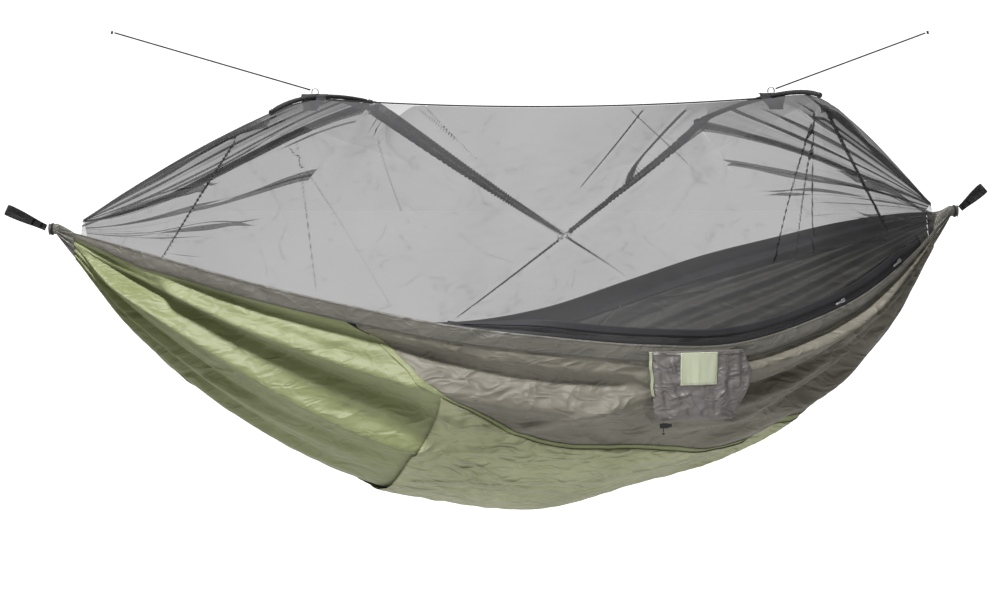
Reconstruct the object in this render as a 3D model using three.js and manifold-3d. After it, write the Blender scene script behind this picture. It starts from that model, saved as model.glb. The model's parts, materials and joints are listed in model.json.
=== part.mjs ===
// Camping hammock with a zip-on insect net, hung from two webbing loops and two guy lines.
// Millimetres, +Z up, +X from the left loop to the right loop, +Y away from the zipped side.
// The origin is the middle of the left loop's eye, where the carabiner of a tree strap hangs it.
import * as THREE from 'three';
import Module from 'manifold-3d';
import { mergeVertices } from 'three/addons/utils/BufferGeometryUtils.js';

const wasm = await Module();
wasm.setup();

// ---------- overall sizes ----------
const gatherSpan = 2339; // from one gathered end to the other, in X
const gatherRise = 47; // how much higher the right gather hangs
const rimSpread = 828; // widest distance between the two rims
const keelDrop = 757; // deepest point under the line between the gathers
const leftGather = new THREE.Vector3(122, 0, -47);
const rightLoopReach = new THREE.Vector3(80, 0, 55); // right gather to the right loop's eye
const netHeight = 300; // rods and ridge above the line between the gathers
const rodReach = 330; // half of a spreader rod's span across the bed
const gap = 0.4; // between pieces that touch
const layer = 1.2; // a fabric layer with its seam allowance
const panelStart = 0.024; // where the flat panels begin and end between the gathers
const panelEnd = 0.976;

// ---------- hems, tapes and zip ----------
const hemWidth = 42;
const hemThick = 1.6;
const seamTapeWidth = 14;
const edgeClear = 2.5; // panel edge to the middle of a seam
const zipStart = 0.44; // the zip runs along the near rim between these shares of the span
const zipEnd = 0.962;
const zipTape = 8;
const zipTapeThick = 0.8;
const coilWidth = 3;
const coilThick = 2;
const coilGap = 3.6; // between the two coils, where the slider's neck runs
const netHem = 18; // hem band of the net over the zip
const netHemLap = 4; // how far the hem laps over the upper zip tape
const netHemGap = 2; // hem top to the foot of the net wall
const farBand = 66; // dark band that joins the net to the far rim

// ---------- zip sliders ----------
const sliderSpots = [0.866, 0.935];
const sliderLength = 12;
const sliderWidth = 10;
const sliderPlate = 1.1;
const sliderClear = 1.6; // plate to coil, which lets it follow the curve
const bailHeight = 3.9;
const bailHalf = 4.6;
const bailWire = 1.3;
const pullLength = 26;
const pullWidth = 6;
const pullThick = 1.2;

// ---------- spreader rods and ridge ----------
const rodRadius = 4.2;
const sleeveClear = 1.0;
const sleeveWall = 0.9;
const capRadius = 6.5;
const capLength = 16;
const guyDia = 4;
const ridgeDia = 4;
const ridgeSag = 20;
const patchLength = 66;
const patchWidth = 46;
const patchThick = 1.4;
const tabWidth = 16;
const tabHeight = 18;
const knotRadius = 5.5;

// ---------- suspension loops ----------
const strapWidth = 27;
const strapThick = 1.8;
const strapClear = 9.5; // webbing to the end of the neck, which turns as the bed rocks
const eyeRadius = 9;
const neckRadius = 13;
const neckLength = 20;
const whipDia = 2.6;
const whipTurns = 2;
const whipSteps = 12;

// ---------- stuff sack, sewn to the near rim ----------
const sackMiddle = 0.699;
const sackWidth = 262;
const sackHeight = 176;
const sackDepth = 46;
const sackGap = 6; // sack back to hem front
const labelWidth = 96;
const labelHeight = 84;
const labelThick = 0.8;
const bindingWidth = 12;
const lockLength = 20;
const lockRadius = 6;
const lockHeight = 11;
const lockTravel = 3.5;
const lockSlide = 8; // how far the lock can slide down the drawcord
const springRadius = 2.2;
const springWire = 0.6;
const springTurns = 3;
const drawcordDia = 2.2;

const color = {
  taupe: 0x6f6b60, green: 0xa3ab7e, palegreen: 0xbcc492, black: 0x1c1c1c, net: 0x3b3c40,
  sack: 0x8a827c, label: 0xd4dcae, silver: 0xb8bbc0, rod: 0x2a2c30, cord: 0x2b2c2e, darkhem: 0x35363b,
};
const group = new THREE.Group();

function add(name, geometry, hex, roughness = 0.85, metalness = 0) {
  const material = new THREE.MeshStandardMaterial({ color: hex, roughness, metalness });
  const mesh = new THREE.Mesh(geometry, material);
  mesh.name = name;
  group.add(mesh);
  return mesh;
}

// ---------- curves ----------
// A smooth track through [place, value, value...] rows, read at any place.
function track(rows) {
  const slope = (k, j) => {
    const rise = (a, b) => (rows[b][k] - rows[a][k]) / (rows[b][0] - rows[a][0]);
    if (j === 0) return rise(0, 1);
    if (j === rows.length - 1) return rise(j - 1, j);
    const before = rows[j][0] - rows[j - 1][0];
    const after = rows[j + 1][0] - rows[j][0];
    return (rise(j - 1, j) * after + rise(j, j + 1) * before) / (before + after);
  };
  return (s, k = 1) => {
    let i = 0;
    while (i < rows.length - 2 && s > rows[i + 1][0]) i += 1;
    const h = rows[i + 1][0] - rows[i][0];
    const t = (s - rows[i][0]) / h;
    const ends = (2 * t ** 3 - 3 * t ** 2 + 1) * rows[i][k] + (3 * t ** 2 - 2 * t ** 3) * rows[i + 1][k];
    const turns = (t ** 3 - 2 * t ** 2 + t) * slope(k, i) + (t ** 3 - t ** 2) * slope(k, i + 1);
    return ends + h * turns;
  };
}

// Ribs of the hanging bed: place along the span, near rim's spread and drop, far rim's spread
// and drop, and the keel's drop, each as a share of half the rim spread or of the keel drop.
const rib = track([
  [0, 0, 0, 0, 0, 0.021],
  [0.029, 0.092, 0.017, 0.101, 0.038, 0.137],
  [0.076, 0.225, 0.05, 0.271, 0.108, 0.317],
  [0.14, 0.391, 0.099, 0.435, 0.198, 0.513],
  [0.226, 0.597, 0.164, 0.604, 0.287, 0.719],
  [0.333, 0.79, 0.236, 0.768, 0.375, 0.892],
  [0.44, 0.925, 0.3, 0.93, 0.412, 0.978],
  [0.546, 0.976, 0.343, 1.024, 0.374, 1],
  [0.653, 0.935, 0.379, 1.022, 0.272, 0.896],
  [0.739, 0.833, 0.388, 0.937, 0.182, 0.797],
  [0.824, 0.652, 0.332, 0.778, 0.111, 0.65],
  [0.897, 0.43, 0.244, 0.536, 0.049, 0.449],
  [0.953, 0.205, 0.129, 0.29, 0.015, 0.238],
  [1, 0, 0, 0, 0, 0.021],
]);
const vec = (x, y, z) => new THREE.Vector3(x, y, z);
const mix = (a, b, t) => a + (b - a) * t;
const hangX = (s) => leftGather.x + gatherSpan * s;
const hangZ = (s) => leftGather.z + gatherRise * s;
const hangPoint = (s) => vec(hangX(s), 0, hangZ(s));
const half = rimSpread / 2;
const nearRim = (s) => vec(hangX(s), -half * rib(s, 1), hangZ(s) - keelDrop * rib(s, 2));
const farRim = (s) => vec(hangX(s), half * rib(s, 3), hangZ(s) - keelDrop * rib(s, 4));
const keel = (s) => vec(hangX(s), 0, hangZ(s) - keelDrop * rib(s, 5));

// A point of the bed: s along the span, v from 0 at the near rim to 1 at the far rim.
function bedPoint(s, v) {
  const near = nearRim(s);
  const far = farRim(s);
  const middle = near.clone().lerp(far, 0.5);
  const across = far.sub(near).multiplyScalar(0.5);
  const down = keel(s).sub(middle);
  return middle.addScaledVector(across, -Math.cos(Math.PI * v)).addScaledVector(down, Math.sin(Math.PI * v));
}

function bedNormal(s, v) {
  const step = 0.002;
  const along = bedPoint(s + step, v).sub(bedPoint(s - step, v));
  const round = bedPoint(s, v + step).sub(bedPoint(s, v - step));
  return round.cross(along).normalize();
}

// The v that lies a given length round the bed from another v.
function roundFrom(s, v, length) {
  const step = 0.004;
  const speed = bedPoint(s, v + step).distanceTo(bedPoint(s, v)) / step;
  return v + length / speed;
}

// ---------- solids ----------
function closed(positions, index) {
  const geometry = new THREE.BufferGeometry();
  geometry.setAttribute('position', new THREE.Float32BufferAttribute(positions, 3));
  let volume = 0;
  const corner = (i) => vec(positions[3 * i], positions[3 * i + 1], positions[3 * i + 2]);
  for (let i = 0; i < index.length; i += 3) {
    volume += corner(index[i]).dot(corner(index[i + 1]).cross(corner(index[i + 2])));
  }
  if (volume < 0) index.reverse();
  geometry.setIndex(index);
  geometry.computeVertexNormals();
  return geometry;
}

// A sheet with two faces: at(i, j) gives the point on the first face and on the second.
function sheet(columns, rows, at) {
  const positions = [];
  const index = [];
  const key = (i, j, side) => 2 * (i * (rows + 1) + j) + side;
  for (let i = 0; i <= columns; i += 1) {
    for (let j = 0; j <= rows; j += 1) {
      for (const p of at(i / columns, j / rows)) positions.push(p.x, p.y, p.z);
    }
  }
  const quad = (a, b, c, d) => index.push(a, b, c, a, c, d);
  for (let i = 0; i < columns; i += 1) {
    for (let j = 0; j < rows; j += 1) {
      quad(key(i, j, 0), key(i + 1, j, 0), key(i + 1, j + 1, 0), key(i, j + 1, 0));
      quad(key(i, j, 1), key(i, j + 1, 1), key(i + 1, j + 1, 1), key(i + 1, j, 1));
    }
    quad(key(i, 0, 0), key(i, 0, 1), key(i + 1, 0, 1), key(i + 1, 0, 0));
    quad(key(i, rows, 0), key(i + 1, rows, 0), key(i + 1, rows, 1), key(i, rows, 1));
  }
  for (let j = 0; j < rows; j += 1) {
    quad(key(0, j, 0), key(0, j + 1, 0), key(0, j + 1, 1), key(0, j, 1));
    quad(key(columns, j, 0), key(columns, j, 1), key(columns, j + 1, 1), key(columns, j + 1, 0));
  }
  return closed(positions, index);
}

// A solid through closed sections of equal point count, with a fan at each end.
function loft(sections) {
  const count = sections[0].length;
  const positions = [];
  const index = [];
  for (const p of sections.flat()) positions.push(p.x, p.y, p.z);
  for (let i = 0; i < sections.length - 1; i += 1) {
    for (let j = 0; j < count; j += 1) {
      const [a, b] = [i * count + j, i * count + ((j + 1) % count)];
      index.push(a, b, b + count, a, b + count, a + count);
    }
  }
  for (const [row, flip] of [[0, true], [sections.length - 1, false]]) {
    const centre = positions.length / 3;
    const middle = sections[row].reduce((sum, p) => sum.add(p), vec(0, 0, 0)).divideScalar(count);
    positions.push(middle.x, middle.y, middle.z);
    for (let j = 0; j < count; j += 1) {
      const [a, b] = [row * count + j, row * count + ((j + 1) % count)];
      index.push(...(flip ? [b, a, centre] : [a, b, centre]));
    }
  }
  return closed(positions, index);
}

// A piece of the bed between two v tracks, lifted off the bed's surface by from..to.
function bedPiece(s0, s1, columns, rows, low, high, from, to) {
  return sheet(columns, rows, (a, b) => {
    const s = mix(s0, s1, a);
    const v = mix(low(s), high(s), b);
    const p = bedPoint(s, v);
    const n = bedNormal(s, v);
    return [p.clone().addScaledVector(n, from), p.clone().addScaledVector(n, to)];
  });
}

// A strip of rectangular section: frame(a) gives its origin, width and thickness directions.
function strip(columns, frame, w0, w1, t0, t1) {
  return sheet(columns, 1, (a, b) => {
    const f = frame(a);
    const p = f.origin.clone().addScaledVector(f.width, mix(w0, w1, b));
    return [p.clone().addScaledVector(f.thick, t0), p.clone().addScaledVector(f.thick, t1)];
  });
}

function tube(path, radius, steps, sides = 8, hole = 0) {
  const shape = new THREE.Shape();
  shape.absarc(0, 0, radius, 0, 2 * Math.PI, false);
  if (hole) {
    const bore = new THREE.Path();
    bore.absarc(0, 0, hole, 0, 2 * Math.PI, true);
    shape.holes.push(bore);
  }
  const options = { steps, extrudePath: path, curveSegments: sides / 2, bevelEnabled: false };
  return new THREE.ExtrudeGeometry(shape, options);
}

function manifold(geometry) {
  const bare = geometry.index ? geometry.clone() : geometry;
  for (const name of ['normal', 'uv']) bare.deleteAttribute(name);
  const merged = mergeVertices(bare, 1e-4);
  const solid = { numProp: 3, vertProperties: merged.attributes.position.array };
  return new wasm.Manifold(new wasm.Mesh({ ...solid, triVerts: new Uint32Array(merged.index.array) }));
}

function fromManifold(solid) {
  const mesh = solid.getMesh();
  const geometry = new THREE.BufferGeometry();
  geometry.setAttribute('position', new THREE.BufferAttribute(mesh.vertProperties, 3));
  geometry.setIndex(new THREE.BufferAttribute(mesh.triVerts, 1));
  return geometry;
}

// Moves a geometry from x, y, z directions of its own to a place with the given directions.
function place(geometry, origin, x, y, z) {
  const matrix = new THREE.Matrix4().makeBasis(x, y, z).setPosition(origin);
  return geometry.applyMatrix4(matrix);
}

// ---------- bed panels ----------
// The green bottom runs diagonally: its near seam starts at the near rim on the left and crosses
// under the keel on the right, and its far seam is the same line turned half a turn.
const nearSeam = track([
  [0, 0], [0.3, 0.004], [0.338, 0.032], [0.435, 0.115], [0.53, 0.18], [0.647, 0.218],
  [0.73, 0.27], [0.8, 0.35], [0.87, 0.44], [1, 0.56],
]);
const farSeam = (s) => 1 - nearSeam(1 - s);
const clearOf = (s, v, side) => roundFrom(s, v, side * edgeClear);
const nearStart = 0.345; // where the near side panel comes out from under the rim hem
const lowerHem = (s) => roundFrom(s, 0, 1);
const upperHem = (s) => roundFrom(s, 1, -1);
const hemReach = (s) => Math.min(hemWidth, 400 * Math.min(s, 1 - s));

add('bottom_panel', bedPiece(
  panelStart, panelEnd, 28, 15,
  (s) => Math.max(clearOf(s, nearSeam(s), 1), lowerHem(s)),
  (s) => Math.min(clearOf(s, farSeam(s), -1), upperHem(s)),
  0, layer,
), color.green, 0.55);
add('near_side_panel', bedPiece(
  nearStart, panelEnd, 24, 7, lowerHem, (s) => clearOf(s, nearSeam(s), -1), 0, layer,
), color.taupe, 0.6);
add('far_side_panel', bedPiece(
  panelStart, 1 - nearStart, 24, 7,
  (s) => clearOf(s, farSeam(s), 1), upperHem, 0, layer,
), color.taupe, 0.6);

// The outer green layer under the bottom makes a pocket for a sleeping mat. Its free hem, the
// pocket's mouth, slants from the near seam down and back to the far seam.
const sleeveLift = 6;
const sleeveMouth = track([[0.09, 0.441], [0.21, 0.422], [0.3, 0.4], [0.45, 0.372], [0.8, 0.29]]);
const sleeveEnd = 0.93;
add('mat_sleeve', sheet(22, 12, (a, b) => {
  const guess = mix(0.44, sleeveEnd, a);
  const edgeV = mix(nearSeam(guess), farSeam(guess), b);
  const s = mix(sleeveMouth(Math.min(Math.max(edgeV, 0.09), 0.8)), sleeveEnd, a);
  const far = Math.min(clearOf(s, farSeam(s), -4.5), roundFrom(s, 1, -hemReach(s) - 4));
  const v = mix(clearOf(s, nearSeam(s), 4.5), far, b);
  const p = bedPoint(s, v);
  const n = bedNormal(s, v);
  return [p.clone().addScaledVector(n, sleeveLift), p.clone().addScaledVector(n, sleeveLift + layer)];
}), color.green, 0.55);

for (const [name, s0, s1, seam] of [
  ['near_seam_tape', nearStart + 0.012, 0.965, nearSeam],
  ['far_seam_tape', 0.035, 1 - nearStart - 0.012, farSeam],
]) {
  add(name, bedPiece(
    s0, s1, 30, 1,
    (s) => roundFrom(s, seam(s), -seamTapeWidth / 2), (s) => roundFrom(s, seam(s), seamTapeWidth / 2),
    2.4, 3.3,
  ), color.palegreen, 0.6);
}

// ---------- rim hems: a fold of the bed cloth laid over each rim ----------
const hemLift = layer + 1.6;
add('near_rim_hem', bedPiece(
  panelStart, panelEnd, 32, 2, (s) => roundFrom(s, 0, -1), (s) => roundFrom(s, 0, hemReach(s)),
  hemLift, hemLift + hemThick,
), color.taupe, 0.6);
add('far_rim_hem', bedPiece(
  panelStart, panelEnd, 32, 2, (s) => roundFrom(s, 1, -hemReach(s)), (s) => roundFrom(s, 1, 1),
  hemLift, hemLift + hemThick,
), color.taupe, 0.6);
add('far_net_band', bedPiece(
  0.06, 0.94, 30, 2, (s) => roundFrom(s, 1, -farBand), (s) => roundFrom(s, 1, 0), -4.8, -3.6,
), color.darkhem, 0.9);

// ---------- gathered ends: the cloth bunched round a neck and bound with cord ----------
// The bunch fills the bed's section where the panels stop and closes to a round neck.
const hingeAxis = vec(gatherSpan, 0, gatherRise).normalize();
function endBunch(s, side) {
  const ringSides = 20;
  const underCount = 13;
  const mouth = [];
  for (let k = 0; k < underCount; k += 1) mouth.push(bedPoint(s, k / (underCount - 1)));
  const across = ringSides - underCount + 1;
  for (let k = 1; k < across; k += 1) {
    const top = mouth[underCount - 1].clone().lerp(mouth[0], k / across);
    mouth.push(top);
  }
  const gather = hangPoint(side < 0 ? 0 : 1);
  const outward = hingeAxis.clone().multiplyScalar(side);
  const sections = [mouth];
  const upright = vec(0, 1, 0).cross(hingeAxis).negate();
  const round = (distance, radius) => mouth.map((_, k) => {
    const under = k < underCount;
    const turn = under
      ? Math.PI * (k / (underCount - 1))
      : Math.PI * (1 + (k - underCount + 1) / across);
    return gather.clone().addScaledVector(outward, distance)
      .addScaledVector(vec(0, 1, 0), -radius * Math.cos(turn)).addScaledVector(upright, -radius * Math.sin(turn));
  });
  const first = round(0, neckRadius * 1.15);
  for (const t of [0.3, 0.6, 0.85]) {
    sections.push(mouth.map((p, k) => p.clone().lerp(first[k], t)));
  }
  sections.push(first, round(neckLength * 0.3, neckRadius), round(neckLength, neckRadius));
  return loft(sections);
}
add('left_end_bunch', endBunch(panelStart - 0.0006, -1), color.taupe, 0.7);
add('right_end_bunch', endBunch(panelEnd + 0.0006, 1), color.taupe, 0.7);

// Whipping cord wound round each neck.
for (const [name, at, side] of [['left', 0, -1], ['right', 1, 1]]) {
  const flat = vec(0, 1, 0).cross(hingeAxis).negate();
  const wrapRadius = neckRadius + gap + whipDia / 2 + 0.3;
  const wraps = [];
  for (let k = 0; k <= whipTurns * whipSteps; k += 1) {
    const turn = (2 * Math.PI * k) / whipSteps;
    const along = neckLength * 0.42 + (k / whipSteps) * (whipDia + gap);
    wraps.push(hangPoint(at).addScaledVector(hingeAxis, side * along)
      .addScaledVector(vec(0, 1, 0), wrapRadius * Math.cos(turn)).addScaledVector(flat, wrapRadius * Math.sin(turn)));
  }
  const wrap = tube(new THREE.CatmullRomCurve3(wraps), whipDia / 2, whipTurns * whipSteps, 6);
  add(`${name}_whipping_cord`, wrap, color.cord, 0.8);
}

// ---------- suspension loops: flat webbing folded round an eye, sewn at the gather ----------
function suspensionLoop(eye, neckEnd) {
  const toEye = eye.clone().sub(neckEnd);
  const reach = toEye.length() - strapClear;
  const along = toEye.normalize();
  const inner = eyeRadius;
  const outer = eyeRadius + strapThick;
  const flare = reach * 0.5; // where the two layers meet
  const outline = new THREE.Shape();
  outline.moveTo(reach, gap / 2);
  outline.lineTo(flare, gap / 2);
  outline.lineTo(0, inner);
  outline.absarc(0, 0, inner, Math.PI / 2, (3 * Math.PI) / 2, false);
  outline.lineTo(flare, -gap / 2);
  outline.lineTo(reach, -gap / 2);
  outline.lineTo(reach, -gap / 2 - strapThick);
  outline.lineTo(flare, -gap / 2 - strapThick);
  outline.lineTo(0, -outer);
  outline.absarc(0, 0, outer, (3 * Math.PI) / 2, Math.PI / 2, true);
  outline.lineTo(flare, gap / 2 + strapThick);
  outline.lineTo(reach, gap / 2 + strapThick);
  const strap = new THREE.ExtrudeGeometry(outline, { depth: strapWidth, bevelEnabled: false, curveSegments: 8 });
  strap.translate(0, 0, -strapWidth / 2);
  const back = along.clone().negate();
  const side = vec(0, 1, 0);
  return place(strap, eye, back, side, back.clone().cross(side));
}
const leftEye = vec(0, 0, 0);
const rightEye = hangPoint(1).add(rightLoopReach);
add('left_suspension_loop', suspensionLoop(leftEye, hangPoint(0).addScaledVector(hingeAxis, -neckLength)),
  color.black, 0.8);
add('right_suspension_loop', suspensionLoop(rightEye, hangPoint(1).addScaledVector(hingeAxis, neckLength)),
  color.black, 0.8);

// ---------- zip along the near rim ----------
function rimFrame(s) {
  const step = 0.003;
  const along = nearRim(s + step).sub(nearRim(s - step)).normalize();
  const thick = along.clone().cross(vec(0, 0, 1)).normalize();
  return { origin: nearRim(s), along, width: thick.clone().cross(along), thick };
}
const zipFrame = (a) => rimFrame(mix(zipStart, zipEnd, a));
const coilLow = 1 + zipTape + gap;
const coilHigh = coilLow + coilWidth + coilGap;
const upperTapeLow = coilHigh + coilWidth + gap;
const upperTapeHigh = upperTapeLow + zipTape;
const tapeHalf = zipTapeThick / 2;
add('lower_zip_tape', strip(26, zipFrame, 1, 1 + zipTape, -tapeHalf, tapeHalf), color.darkhem, 0.8);
add('lower_zip_coil', strip(26, zipFrame, coilLow, coilLow + coilWidth, -coilThick / 2, coilThick / 2),
  color.black, 0.5);
add('upper_zip_coil', strip(26, zipFrame, coilHigh, coilHigh + coilWidth, -coilThick / 2, coilThick / 2),
  color.black, 0.5);
add('upper_zip_tape', strip(26, zipFrame, upperTapeLow, upperTapeHigh, -tapeHalf, tapeHalf), color.darkhem, 0.8);

const box = (x, y, z, cx = 0, cy = 0, cz = 0) => new THREE.BoxGeometry(x, y, z).translate(cx, cy, cz);
const faceOut = coilThick / 2 + sliderClear + sliderPlate; // outside of the front plate
const barOut = faceOut + 1.5; // the pull's bar under the bail
const middleUp = coilHigh - coilGap / 2;
function slider() {
  const plateAt = coilThick / 2 + sliderClear + sliderPlate / 2;
  const pieces = [
    box(sliderLength, sliderWidth, sliderPlate, 0, 0, plateAt),
    box(sliderLength, sliderWidth, sliderPlate, 0, 0, -plateAt),
    box(sliderLength * 0.35, coilGap - 2.4, 2 * plateAt, sliderLength * 0.3, 0, 0),
    box(bailWire, 1.6, bailHeight + 0.2, bailHalf - bailWire / 2, 0, faceOut + bailHeight / 2 - 0.1),
    box(bailWire, 1.6, bailHeight + 0.2, -bailHalf + bailWire / 2, 0, faceOut + bailHeight / 2 - 0.1),
    box(2 * bailHalf, 1.6, 1.2, 0, 0, faceOut + bailHeight - 0.6),
  ];
  return fromManifold(pieces.map(manifold).reduce((whole, piece) => whole.add(piece)));
}
function pull() {
  const flat = new THREE.Shape();
  const w = pullWidth / 2;
  flat.moveTo(0.6, -w);
  flat.lineTo(0.6, w);
  flat.lineTo(-pullLength + 2, w * 0.8);
  flat.lineTo(-pullLength, w * 0.4);
  flat.lineTo(-pullLength, -w * 0.4);
  flat.lineTo(-pullLength + 2, -w * 0.8);
  const window = new THREE.Path();
  window.moveTo(-0.6, -1.6);
  window.lineTo(-7.4, -1.6);
  window.lineTo(-7.4, 1.6);
  window.lineTo(-0.6, 1.6);
  flat.holes.push(window);
  const plate = new THREE.ExtrudeGeometry(flat, { depth: pullThick, bevelEnabled: false });
  return plate.translate(0, 0, -pullThick / 2);
}
for (const [number, spot] of sliderSpots.entries()) {
  const f = rimFrame(spot);
  const side = number === 0 ? 'left' : 'right';
  const origin = f.origin.clone().addScaledVector(f.width, middleUp);
  add(`${side}_zip_slider`, place(slider(), origin, f.along, f.width, f.thick), color.silver, 0.35, 0.9);
  const bar = origin.clone().addScaledVector(f.thick, barOut);
  add(`${side}_zip_pull`, place(pull(), bar, f.along, f.width, f.thick), color.silver, 0.4, 0.8);
}

// ---------- spreader rods in their sleeves, with end caps ----------
// Each rod bends in an arch from its near end over its middle to its far end. Heights are shares
// of the net height above the line between the gathers.
const rods = {
  left: { near: [0.2587, 0.987], middle: [0.2907, 1.1], far: [0.3425, 1.05] },
  right: { near: [0.8277, 1.033], middle: [0.7978, 1.032], far: [0.7307, 0.812] },
};
for (const rod of Object.values(rods)) {
  const end = ([s, share], y) => hangPoint(s).add(vec(0, y, netHeight * share));
  const [a, m, b] = [end(rod.near, -rodReach), end(rod.middle, 0), end(rod.far, rodReach)];
  const control = m.clone().multiplyScalar(2).addScaledVector(a, -0.5).addScaledVector(b, -0.5);
  Object.assign(rod, { a, m, b, curve: new THREE.QuadraticBezierCurve3(a, control, b) });
}
const between = (curve, t0, t1, steps = 12) => {
  const points = [];
  for (let k = 0; k <= steps; k += 1) points.push(curve.getPoint(mix(t0, t1, k / steps)));
  return new THREE.CatmullRomCurve3(points);
};
const sleeveIn = rodRadius + sleeveClear;
const sleeveOut = sleeveIn + sleeveWall;
const capProfile = [
  [0, capLength - 9], [rodRadius + 0.6, capLength - 9], [rodRadius + 0.6, 0], [capRadius, 0],
  [capRadius, capLength - 2], [capRadius - 2, capLength], [0, capLength],
].map(([x, y]) => new THREE.Vector2(x, y));
for (const [name, rod] of Object.entries(rods)) {
  add(`${name}_spreader_rod`, tube(rod.curve, rodRadius, 14, 8), color.rod, 0.35);
  add(`${name}_rod_sleeve`, tube(between(rod.curve, 0.03, 0.97), sleeveOut, 14, 8, sleeveIn), color.darkhem, 0.9);
  for (const [end, t, sign] of [['near', 0, -1], ['far', 1, 1]]) {
    const out = rod.curve.getTangent(t).multiplyScalar(sign);
    const side = out.clone().cross(vec(0, 0, 1)).normalize();
    const cup = new THREE.LatheGeometry(capProfile, 9);
    const base = rod.curve.getPoint(t).addScaledVector(out, -(capLength - 9 - gap));
    add(`${name}_${end}_rod_cap`, place(cup, base, side, out, side.clone().cross(out)), color.black, 0.5);
  }
}

// ---------- reinforcement patch, guy tab and guy line over the middle of each rod ----------
function patch(rod) {
  const along = vec(1, 0, 0);
  return sheet(6, 4, (a, b) => {
    const t = mix(0.5 - patchLength / 1400, 0.5 + patchLength / 1400, a);
    const p = rod.curve.getPoint(t);
    const spread = mix(-patchWidth / 2, patchWidth / 2, b);
    const drop = sleeveOut + 1.6 - (spread * spread) / (patchWidth * 1.6);
    p.addScaledVector(along, spread).add(vec(0, 0, drop));
    return [p.clone(), p.clone().add(vec(0, 0, patchThick))];
  });
}
// A guy line runs from its tab out and up to the knot that ties it off.
const guys = {
  left: vec(-508, 0, 146),
  right: vec(387, 0, 142),
};
function guyTab(side) {
  const arch = new THREE.Shape();
  const [w, h, t] = [tabHeight * 0.5, tabHeight, 1.4];
  arch.moveTo(-w, 0);
  arch.lineTo(-w, h * 0.45);
  arch.quadraticCurveTo(-w, h, 0, h);
  arch.quadraticCurveTo(w, h, w, h * 0.45);
  arch.lineTo(w, 0);
  arch.lineTo(w - t, 0);
  arch.lineTo(w - t, h * 0.45);
  arch.quadraticCurveTo(w - t, h - t, 0, h - t);
  arch.quadraticCurveTo(-w + t, h - t, -w + t, h * 0.45);
  arch.lineTo(-w + t, 0);
  const tab = new THREE.ExtrudeGeometry(arch, { depth: tabWidth, bevelEnabled: false, curveSegments: 4 });
  tab.translate(0, 0, -tabWidth / 2);
  return tab;
}
for (const [name, rod] of Object.entries(rods)) {
  const run = guys[name];
  add(`${name}_patch`, patch(rod), color.darkhem, 0.9);
  const deck = rod.m.clone().add(vec(0, 0, sleeveOut + 1.6 + patchThick + gap));
  add(`${name}_guy_tab`, place(guyTab(), deck, vec(1, 0, 0), vec(0, 0, 1), vec(0, -1, 0)), color.black, 0.8);
  const away = run.clone().normalize();
  const beside = Math.sign(run.x) * (tabHeight * 0.5 + gap + guyDia * 0.5);
  const from = deck.clone().add(vec(beside, 0, tabHeight * 0.55));
  const to = from.clone().addScaledVector(away, run.length());
  add(`${name}_guy_line`, tube(new THREE.LineCurve3(from, to), guyDia / 2, 6), color.cord, 0.8);
  const knot = new THREE.SphereGeometry(knotRadius, 10, 8);
  add(`${name}_guy_knot`, place(knot, to.clone().addScaledVector(away, knotRadius + gap),
    vec(1, 0, 0), vec(0, 1, 0), vec(0, 0, 1)), color.cord, 0.8);
}

// ---------- ridge cord between the two patches ----------
const ridgeEnds = [
  rods.left.m.clone().add(vec(patchWidth / 2 + 4, 0, -6)),
  rods.right.m.clone().add(vec(-patchWidth / 2 - 4, 0, -6)),
];
const ridgeAt = (t) => ridgeEnds[0].clone().lerp(ridgeEnds[1], t).add(vec(0, 0, -ridgeSag * 4 * t * (1 - t)));
const ridgePoints = [];
for (let k = 0; k <= 12; k += 1) ridgePoints.push(ridgeAt(k / 12));
add('ridge_cord', tube(new THREE.CatmullRomCurve3(ridgePoints), ridgeDia / 2, 24), color.cord, 0.8);

// ---------- insect net: side walls between the rods, and an end piece past each rod ----------
const netEdge = [0.2, 0.87]; // where the side walls meet the end pieces on the near rim
const farEdge = [0.17, 0.83];
const netThick = 1.2;
const netClear = 9; // net to rod sleeve and ridge cord
const netHemLow = upperTapeHigh - netHemLap;
const nearFoot = (s) => (s > zipStart - 0.01 && s < zipEnd + 0.01 ? netHemLow + netHem + netHemGap : 6);
function footPoint(s, side) {
  if (side > 0) return farRim(s).add(vec(0, 0, 5));
  const f = rimFrame(s);
  return f.origin.addScaledVector(f.width, nearFoot(s));
}
// A side wall goes from the ridge over a knee, which is at the rods' ends at both ends of the wall
// and sags to the straight line between them, down to the rim.
function netWall(side) {
  const edge = side < 0 ? netEdge : farEdge;
  const corner = (rod) => (side < 0 ? rod.a : rod.b).clone();
  return sheet(14, 7, (a, b) => {
    const s = mix(edge[0] + 0.004, edge[1] - 0.004, a);
    const ridge = ridgeAt(mix(0.02, 0.98, a)).add(vec(0, side * netClear, -netClear * 0.3));
    const foot = footPoint(s, side);
    const straight = ridge.clone().lerp(foot, 0.35);
    const rodLine = corner(rods.left).lerp(corner(rods.right), a);
    rodLine.add(vec(mix(netClear, -netClear, a) * 1.4, 0, -netClear * 2));
    const knee = straight.lerp(rodLine, Math.abs(2 * a - 1) ** 2.4);
    const p = b < 0.35 ? ridge.lerp(knee, b / 0.35) : knee.lerp(foot, (b - 0.35) / 0.65);
    return [p.clone(), p.clone().add(vec(0, side * netThick, netThick * 0.5))];
  });
}
add('near_net_wall', netWall(-1), color.net, 0.9);
add('far_net_wall', netWall(1), color.net, 0.9);

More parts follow.
